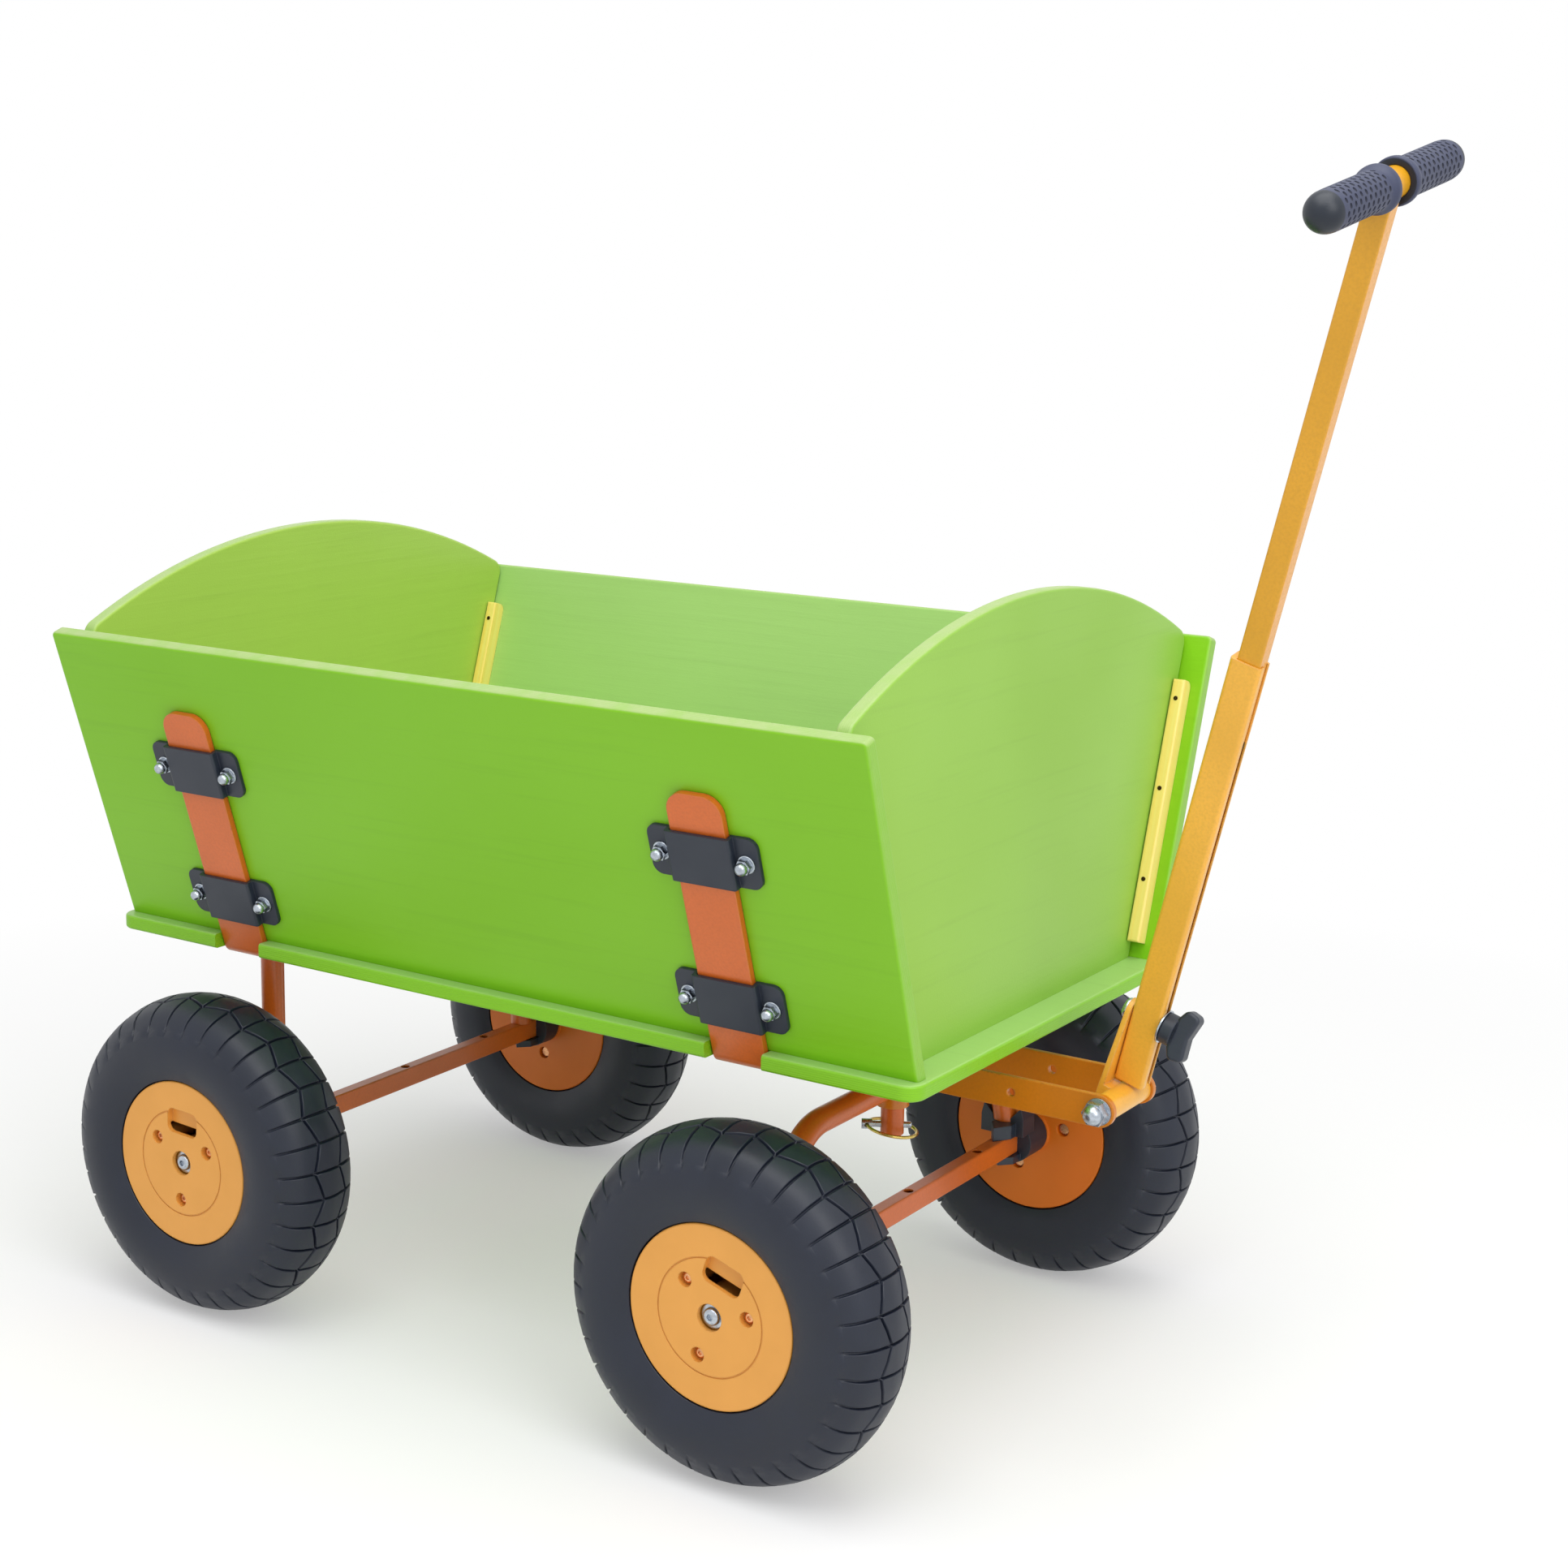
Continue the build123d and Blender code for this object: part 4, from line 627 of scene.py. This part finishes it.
class WAGON_OT_tyres(bpy.types.Operator):
    """Model the treaded tyre and put one on each wheel"""

    bl_idname = "wagon.tyres"
    bl_label = "Tyres"

    def execute(self, context):
        colours = context.scene.wagon_colours
        pattern = model_tyre(context.scene.wagon_sizes)
        skin = rubber("tyre_rubber", colours.rubber, colours.rubber_worn, 0.46, 0.45)
        pattern.data.materials.append(skin)
        for number, wheel in enumerate(WHEELS):
            node = wheel + "_tyre"
            place = Matrix.Translation(middle(node)) @ Matrix.Rotation(TYRE_TURN * number, 4, "Y")
            made = copy_to(pattern, node + "_treaded", place)
            finish_piece(made, wheel, "tyre", node)
        remove(pattern)
        return {"FINISHED"}


# Grip, made along Y from its flange to its domed end

GRIP_FLANGE_R = 0.0155
GRIP_R = 0.013
GRIP_BORE_R = 0.0103
GRIP_BORE_END = 0.0881
GRIP_INNER = 0.011
GRIP_FLANGE = 0.0045
GRIP_FLARE = ((0.5, 0.0026), (0.12, 0.0045))
GRIP_DIMPLED = (0.0215, 0.0818)
GRIP_DOME = 0.0845
GRIP_TIP = 0.097
GRIP_SOFT = 0.0008
DIMPLE_LIP = 0.00005
DIMPLE_WALL = 0.0003


def handle_place():
    """Frame of the handle: X along the fold bolt, Y along the bar and Z up the drawbar."""
    forward = Vector(JOINTS["drawbar_fold"]["axis"]).normalized()
    upward = Vector(JOINTS["drawbar_telescope"]["axis"]).normalized()
    sideways = upward.cross(forward)
    turn = Matrix((forward, sideways, upward)).transposed().to_4x4()
    return Matrix.Translation(middle("handle_bar")) @ turn


def grip_outline(sizes):
    """Grip section from the bore's end through its mouth, over flange and body, to its domed end."""
    first, last = GRIP_DIMPLED
    soft = GRIP_SOFT
    flange_end = GRIP_INNER + GRIP_FLANGE
    rows = [first + (last - first) * i / sizes.dimple_rows for i in range(sizes.dimple_rows + 1)]
    points = [(0.0, GRIP_BORE_END), (GRIP_BORE_R - soft, GRIP_BORE_END), (GRIP_BORE_R, GRIP_BORE_END)]
    points += [(GRIP_BORE_R, y) for y in (GRIP_BORE_END - soft, GRIP_INNER + soft, GRIP_INNER)]
    points += [(GRIP_BORE_R + soft, GRIP_INNER), (GRIP_FLANGE_R - soft, GRIP_INNER)]
    points += [(GRIP_FLANGE_R, GRIP_INNER + soft), (GRIP_FLANGE_R, flange_end - soft)]
    points += [(GRIP_FLANGE_R - soft / 4, flange_end + soft)]
    points += [(GRIP_R + (GRIP_FLANGE_R - GRIP_R) * share, flange_end + out) for share, out in GRIP_FLARE]
    points += [(GRIP_R, y) for y in rows]
    points += [(GRIP_R, GRIP_DOME)]
    for turn in (20, 40, 60, 78):
        angle = math.radians(turn)
        points += [(GRIP_R * math.cos(angle), GRIP_DOME + (GRIP_TIP - GRIP_DOME) * math.sin(angle))]
    points += [(0.0, GRIP_TIP)]
    return [Vector((r, y, 0)) for r, y in points]


def model_grip(sizes, *rubbers):
    """One grip: skin rubber, painted shade in the dimples and on the inner faces, darker domed end; spun from
    its section, dimples sunk, then smoothed.
    """
    first, last = GRIP_DIMPLED
    made = start_outline("grip", grip_outline(sizes))
    for material in rubbers:
        made.data.materials.append(material)
    around = 2 * sizes.dimple_columns
    bpy.ops.mesh.select_all(action="SELECT")
    bpy.ops.mesh.spin(steps=around, angle=2 * math.pi, center=(0, 0, 0), axis=AXLE)
    weld()
    step = (last - first) / sizes.dimple_rows

    def is_dimple(corners):
        spot = sum(corners, Vector()) / len(corners)
        if abs(reach(spot) - GRIP_R) > 0.0005 or not first < spot.y < last:
            return False
        row = int((spot.y - first) / step)
        column = int((clock(spot) % 360.0) / (360.0 / around))
        return (row + column) % 2 == 0

    def is_end(corners):
        along = [corner.y for corner in corners]
        return min(along) > GRIP_DOME - 0.0001 or max(along) < GRIP_INNER + 0.0005

    # Ends get the darkest rubber: the domes darker, and painted shade on the inner faces.
    must(pick("FACE", is_end), "the grip's ends")
    made.active_material_index = 2
    bpy.ops.object.material_slot_assign()
    must(pick("FACE", is_dimple), "the dimples")
    bpy.ops.mesh.inset(thickness=DIMPLE_LIP, depth=0.0, use_individual=True)
    bpy.ops.mesh.inset(thickness=DIMPLE_WALL, depth=-sizes.dimple_depth, use_individual=True)
    # Dimple floors and walls get the darker rubber: painted shade.
    bpy.ops.mesh.select_more()
    made.active_material_index = 1
    bpy.ops.object.material_slot_assign()
    finish_shape(made, 60)
    apply_modifier(made, "SUBSURF", levels=2, render_levels=2)
    bpy.ops.object.shade_smooth()
    return made


class WAGON_OT_grips(bpy.types.Operator):
    """Model the dimpled grip and put one on each end of the handle"""

    bl_idname = "wagon.grips"
    bl_label = "Grips"

    def execute(self, context):
        colours = context.scene.wagon_colours
        skin = rubber("grip_rubber", colours.grip, darker(colours.grip, 0.7), 0.5, 0.4)
        dimple_shade = rubber("grip_dimple_shade", colours.grip_dimple_shade, colours.grip, 0.6, 0.2)
        end = rubber("grip_end", colours.grip_end, colours.grip_dimple_shade, 0.45, 0.3)
        pattern = model_grip(context.scene.wagon_sizes, skin, dimple_shade, end)
        place = handle_place()
        for side, turn in (("left", 0.0), ("right", math.pi)):
            node = "grip_" + side
            made = copy_to(pattern, node + "_dimpled", place @ Matrix.Rotation(turn, 4, "Z"))
            finish_piece(made, "drawbar_upper", "grip_rubber", node)
        remove(pattern)
        return {"FINISHED"}


# Screws in the battens

SIDE_LEAN = math.radians(18.0)
SIDE_FOOT = Vector((0.0, -0.194, 0.300))
BATTEN_FACE = 0.0256
BATTEN_OFF = 0.0058
SCREW_HEIGHTS = (0.058, 0.131, 0.2035)
SCREW_DEPTH = 0.0012
SCREW_TOP = 0.0005
SCREW_EDGE = 0.0004
SCREW_DRIVE = (0.0002, 0.0006)


def batten_place(x, height):
    """Frame on the face of a right-hand batten: Z points into the load box."""
    upward = Vector((0, -math.sin(SIDE_LEAN), math.cos(SIDE_LEAN)))
    inward = Vector((0, math.cos(SIDE_LEAN), math.sin(SIDE_LEAN)))
    spot = SIDE_FOOT + upward * height + inward * BATTEN_FACE
    spot.x = x
    along = Vector((1, 0, 0))
    turn = Matrix((along, inward.cross(along), inward)).transposed().to_4x4()
    return Matrix.Translation(spot) @ turn


def batten_middles():
    """Middles of the four battens of a side, along X."""
    for end in ("front", "rear"):
        low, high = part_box("end_panel_" + end)
        for x in (low[0] - BATTEN_OFF, high[0] + BATTEN_OFF):
            yield x


def model_screw(sizes):
    """Round screw head with a softened edge and a sunk drive."""
    start_alone()
    bpy.ops.mesh.primitive_cylinder_add(vertices=20, radius=sizes.screw_radius, depth=SCREW_DEPTH)
    made = bpy.context.object
    bpy.ops.object.mode_set(mode="EDIT")
    must(pick("EDGE", lambda p: min(q.z for q in p) > SCREW_TOP), "the rim of the screw")
    bpy.ops.mesh.bevel(offset=SCREW_EDGE, segments=2, profile=0.5, affect="EDGES")
    must(pick("FACE", lambda p: min(q.z for q in p) > SCREW_TOP and len(p) > 8), "the top of the screw")
    bpy.ops.mesh.inset(thickness=sizes.screw_radius * 0.4, depth=0.0)
    wall, depth = SCREW_DRIVE
    bpy.ops.mesh.inset(thickness=wall, depth=-depth)
    weld()
    return finish_shape(made, 40)


class WAGON_OT_batten_screws(bpy.types.Operator):
    """Model a screw head and set the screws in the battens of both sides"""

    bl_idname = "wagon.batten_screws"
    bl_label = "Batten screws"

    def execute(self, context):
        colours = context.scene.wagon_colours
        pattern = model_screw(context.scene.wagon_sizes)
        pattern.data.materials.append(plated_steel("batten_screw", colours.screw))
        for side in SIDES:
            flip = Matrix.Identity(4) if side == "right" else Matrix.Scale(-1, 4, (0, 1, 0))
            heads = []
            for x in batten_middles():
                for height in SCREW_HEIGHTS:
                    heads.append(copy_to(pattern, "head", flip @ batten_place(x, height)))
            start_alone()
            for head in heads:
                head.select_set(True)
            bpy.context.view_layer.objects.active = heads[0]
            bpy.ops.object.join()
            made = bpy.context.object
            made.name = "batten_screws_" + side
            made.data.name = made.name
            bpy.ops.object.mode_set(mode="EDIT")
            weld()
            bpy.ops.object.mode_set(mode="OBJECT")
            finish_piece(made, "side_" + side, "bright_steel")
        remove(pattern)
        return {"FINISHED"}


# Paint on the CAD nodes

class WAGON_OT_paint_box(bpy.types.Operator):
    """Paint the load box: panels, battens, keepers and their bolts"""

    bl_idname = "wagon.paint_box"
    bl_label = "Paint the load box"

    def execute(self, context):
        c = context.scene.wagon_colours
        along = (5.0, 130.0, 130.0)
        upward = (0, 0, 1)
        # The floor's upward face gets the paler inside tint: painted light.
        wear(panel_paint("green_floor", c.green, c.green_inside_lit, c.green, along, upward), "floor_panel")
        across = (130.0, 5.0, 130.0)
        for end, sign in (("front", -1), ("rear", 1)):
            inward = (sign, 0, 0)
            # End panels: paler green as a painted sheen outside, and lighter paint as painted light inside.
            ends = panel_paint("green_" + end, c.green_end_sheened, c.green_end_inside_lit, c.green_edge_highlight, across, inward)
            wear(ends, "end_panel_" + end)
        box_ends = (middle("end_panel_rear").x, middle("end_panel_front").x)
        for side, sign in (("right", 1), ("left", -1)):
            inward = (0, sign * math.cos(SIDE_LEAN), math.sin(SIDE_LEAN))
            greens = (c.green, c.green_inside_lit, c.green_edge_highlight)
            wear(panel_paint("green_" + side, *greens, along, inward, box_ends), "side_panel_" + side)
            turn = -sign * SIDE_LEAN
            wear(varnished_pine("pine_" + side, c.pine, c.pine_grain, turn), "battens_" + side)
        black = moulded_plastic("black_plastic", c.slate, 0.42)
        wear(black, "keepers_right", "keepers_left", "rear_axle_blocks", "front_axle_blocks")
        wear(black, "fold_knob", "glide_washer", "upper_tube_plug")
        return {"FINISHED"}


class WAGON_OT_paint_chassis(bpy.types.Operator):
    """Paint straps, axles, arch, fork and drawbar, and plate the fasteners"""

    bl_idname = "wagon.paint_chassis"
    bl_label = "Paint the chassis"

    def execute(self, context):
        c = context.scene.wagon_colours
        orange = powder_coat("strap_coat", c.strap, c.strap_edge_highlight)
        wear(orange, "strap_front", "strap_rear", "rear_legs", "kingpin", "front_arch")
        wear(orange, "rear_axle_bar", "front_axle_bar")
        wear(powder_coat("fork_coat", c.steering, c.steering_edge_highlight), "head_tube", "drawbar_fork")
        wear(powder_coat("amber_coat", c.amber, c.amber_edge_highlight), "drawbar_foot", "drawbar_lower_tube")
        wear(powder_coat("gold_coat", c.gold, c.amber_edge_highlight), "handle_bar")
        # The upper tube's faces along the fold axis get a painted highlight.
        forward = JOINTS["drawbar_fold"]["axis"]
        wear(powder_coat("gold_tube_coat", c.gold, c.amber_edge_highlight, forward), "drawbar_upper_tube")
        zinc = plated_steel("zinc_plate", c.zinc)
        wear(zinc, "floor_bolts", "keeper_bolts_right", "keeper_bolts_left", "linch_pin", "pivot_bolt")
        wear(zinc, "fold_bolt", "rear_axle_stubs", "front_axle_stubs", "rear_axle_screws", "front_axle_screws")
        wear(plated_steel("gold_zinc", c.brass), "linch_ring")
        return {"FINISHED"}


class WAGON_OT_paint_wheels(bpy.types.Operator):
    """Colour the rims, hub bushes and rim screws"""

    bl_idname = "wagon.paint_wheels"
    bl_label = "Paint the wheels"

    def execute(self, context):
        c = context.scene.wagon_colours
        tan = moulded_plastic("rim_tan", c.rim, 0.42, 0.5)
        orange = moulded_plastic("rim_orange", c.rim_inner, 0.42, 0.5)
        yellow = moulded_plastic("bush_plastic", c.bush, 0.5)
        red_zinc = plated_steel("red_zinc", c.copper)
        for wheel in WHEELS:
            wear(tan, wheel + "_rim_outer")
            wear(orange, wheel + "_rim_inner")
            wear(yellow, wheel + "_hub_bush")
            wear(red_zinc, wheel + "_rim_screws")
        return {"FINISHED"}


# Studio

CAMERA_AT = Vector((1.061539, -1.67864, 0.86418))
CAMERA_YAW = 0.6186
CAMERA_PITCH = -0.1994
CAMERA_ROLL = 0.0077
CAMERA_LENS = 60.16
CAMERA_SENSOR = 36.0
CAMERA_SHIFT = (0.0933, -0.0178)
WORLD_LIGHT = 0.55
LAMP_TARGET = (0, 0, 0.3)
LAMPS = (
    ("overhead", (0.4, -0.6, 2.6), 2.4, 46.0),
    ("front_fill", (2.5, -1.3, 1.9), 1.8, 24.0),
)
FLOOR_SIZE = 60.0
FLOOR_FADE = (0.65, 1.5)
FLOOR_NEAR_WHITE = 0.35


def add_camera(scene):
    """Camera at the photograph's viewing angle."""
    ahead = Vector((
        -math.sin(CAMERA_YAW) * math.cos(CAMERA_PITCH),
        math.cos(CAMERA_YAW) * math.cos(CAMERA_PITCH),
        math.sin(CAMERA_PITCH),
    ))
    right = Vector((math.cos(CAMERA_YAW), math.sin(CAMERA_YAW), 0))
    up = right.cross(ahead)
    rolled_right = math.cos(CAMERA_ROLL) * right + math.sin(CAMERA_ROLL) * up
    rolled_up = math.cos(CAMERA_ROLL) * up - math.sin(CAMERA_ROLL) * right
    turn = Matrix((rolled_right, rolled_up, -ahead)).transposed()
    start_alone()
    bpy.ops.object.camera_add(location=CAMERA_AT, rotation=turn.to_euler())
    camera = bpy.context.object
    camera.data.lens = CAMERA_LENS
    camera.data.sensor_width = CAMERA_SENSOR
    camera.data.shift_x, camera.data.shift_y = CAMERA_SHIFT
    camera.data.clip_end = 200.0
    scene.camera = camera


def add_lamp(name, at, towards, size, power):
    """Soft square lamp that points at a place."""
    start_alone()
    turn = (Vector(towards) - Vector(at)).to_track_quat("-Z", "Y").to_euler()
    bpy.ops.object.light_add(type="AREA", location=at, rotation=turn)
    lamp = bpy.context.object
    lamp.name = name
    lamp.data.size = size
    lamp.data.energy = power


def seen_white(tree):
    """Share that is 1 where the camera, a mirror or glass looks, and 0 for all other light."""
    nodes, links = tree.nodes, tree.links
    path = nodes.new("ShaderNodeLightPath")
    either = nodes.new("ShaderNodeMath")
    either.operation = "MAXIMUM"
    links.new(path.outputs["Is Camera Ray"], either.inputs[0])
    links.new(path.outputs["Is Glossy Ray"], either.inputs[1])
    any_ray = nodes.new("ShaderNodeMath")
    any_ray.operation = "MAXIMUM"
    links.new(either.outputs[0], any_ray.inputs[0])
    links.new(path.outputs["Is Transmission Ray"], any_ray.inputs[1])
    return any_ray.outputs[0]


def light_world(scene, strength):
    """Even studio light, and a white background."""
    world = bpy.data.worlds.new("studio")
    world.use_nodes = True
    scene.world = world
    tree = world.node_tree
    output = tree.nodes["World Output"]
    lit = tree.nodes["Background"]
    lit.inputs["Color"].default_value = (1, 1, 1, 1)
    lit.inputs["Strength"].default_value = strength
    white = tree.nodes.new("ShaderNodeBackground")
    white.inputs["Color"].default_value = (1, 1, 1, 1)
    white.inputs["Strength"].default_value = 1.0
    mix = tree.nodes.new("ShaderNodeMixShader")
    tree.links.new(seen_white(tree), mix.inputs[0])
    tree.links.new(lit.outputs[0], mix.inputs[1])
    tree.links.new(white.outputs[0], mix.inputs[2])
    tree.links.new(mix.outputs[0], output.inputs["Surface"])


def floor_finish(tint):
    """Pale matt floor that fades to white away from the wagon."""
    f = Finish("studio_floor")
    where = f.place()
    cloud = f.noise(where, 2.0, 2.0)
    f.done(f.mix(f.between(cloud, 0.3, 0.7, 0.0, 1.0), tint, darker(tint, 0.99)), 0.9)
    tree = f.tree
    far = f.node("ShaderNodeVectorMath", {0: where}, operation="LENGTH").outputs["Value"]
    fade = f.between(far, *FLOOR_FADE, FLOOR_NEAR_WHITE, 1.0)
    white = tree.nodes.new("ShaderNodeEmission")
    white.inputs["Color"].default_value = (1, 1, 1, 1)
    white.inputs["Strength"].default_value = 1.0
    mix = tree.nodes.new("ShaderNodeMixShader")
    tree.links.new(f.times(fade, seen_white(tree)), mix.inputs[0])
    tree.links.new(f.shader.outputs[0], mix.inputs[1])
    tree.links.new(white.outputs[0], mix.inputs[2])
    tree.links.new(mix.outputs[0], tree.nodes["Material Output"].inputs["Surface"])
    return f.material


class WAGON_OT_studio(bpy.types.Operator):
    """Add the pale floor, the soft studio light and the camera"""

    bl_idname = "wagon.studio"
    bl_label = "Studio"

    def execute(self, context):
        scene = context.scene
        scene.view_settings.view_transform = "Standard"
        start_alone()
        bpy.ops.mesh.primitive_plane_add(size=FLOOR_SIZE)
        floor = bpy.context.object
        floor.name = "studio_floor"
        floor.data.materials.append(floor_finish(scene.wagon_colours.floor))
        light_world(scene, WORLD_LIGHT)
        for name, at, size, power in LAMPS:
            add_lamp(name, at, LAMP_TARGET, size, power)
        add_camera(scene)
        return {"FINISHED"}


class WAGON_PT_panel(bpy.types.Panel):
    """Wagon tools in the sidebar"""

    bl_idname = "WAGON_PT_panel"
    bl_label = "Hand-pulled wagon"
    bl_space_type = "VIEW_3D"
    bl_region_type = "UI"
    bl_category = "Wagon"

    def draw(self, context):
        layout = self.layout
        for operator in OPERATORS:
            layout.operator(operator.bl_idname)
        for group in (context.scene.wagon_colours, context.scene.wagon_sizes):
            box = layout.box()
            for name in group.__annotations__:
                box.prop(group, name)


OPERATORS = (
    WAGON_OT_paint_box,
    WAGON_OT_paint_chassis,
    WAGON_OT_paint_wheels,
    WAGON_OT_tyres,
    WAGON_OT_grips,
    WAGON_OT_batten_screws,
    WAGON_OT_studio,
)
CLASSES = (WagonColours, WagonSizes, *OPERATORS, WAGON_PT_panel)


def register():
    for cls in CLASSES:
        bpy.utils.register_class(cls)
    bpy.types.Scene.wagon_colours = PointerProperty(type=WagonColours)
    bpy.types.Scene.wagon_sizes = PointerProperty(type=WagonSizes)


def unregister():
    del bpy.types.Scene.wagon_sizes
    del bpy.types.Scene.wagon_colours
    for cls in reversed(CLASSES):
        bpy.utils.unregister_class(cls)


def main():
    register()
    bpy.ops.wagon.paint_box()
    bpy.ops.wagon.paint_chassis()
    bpy.ops.wagon.paint_wheels()
    bpy.ops.wagon.tyres()
    bpy.ops.wagon.grips()
    bpy.ops.wagon.batten_screws()
    bpy.ops.wagon.studio()


if __name__ == "__main__":
    main()
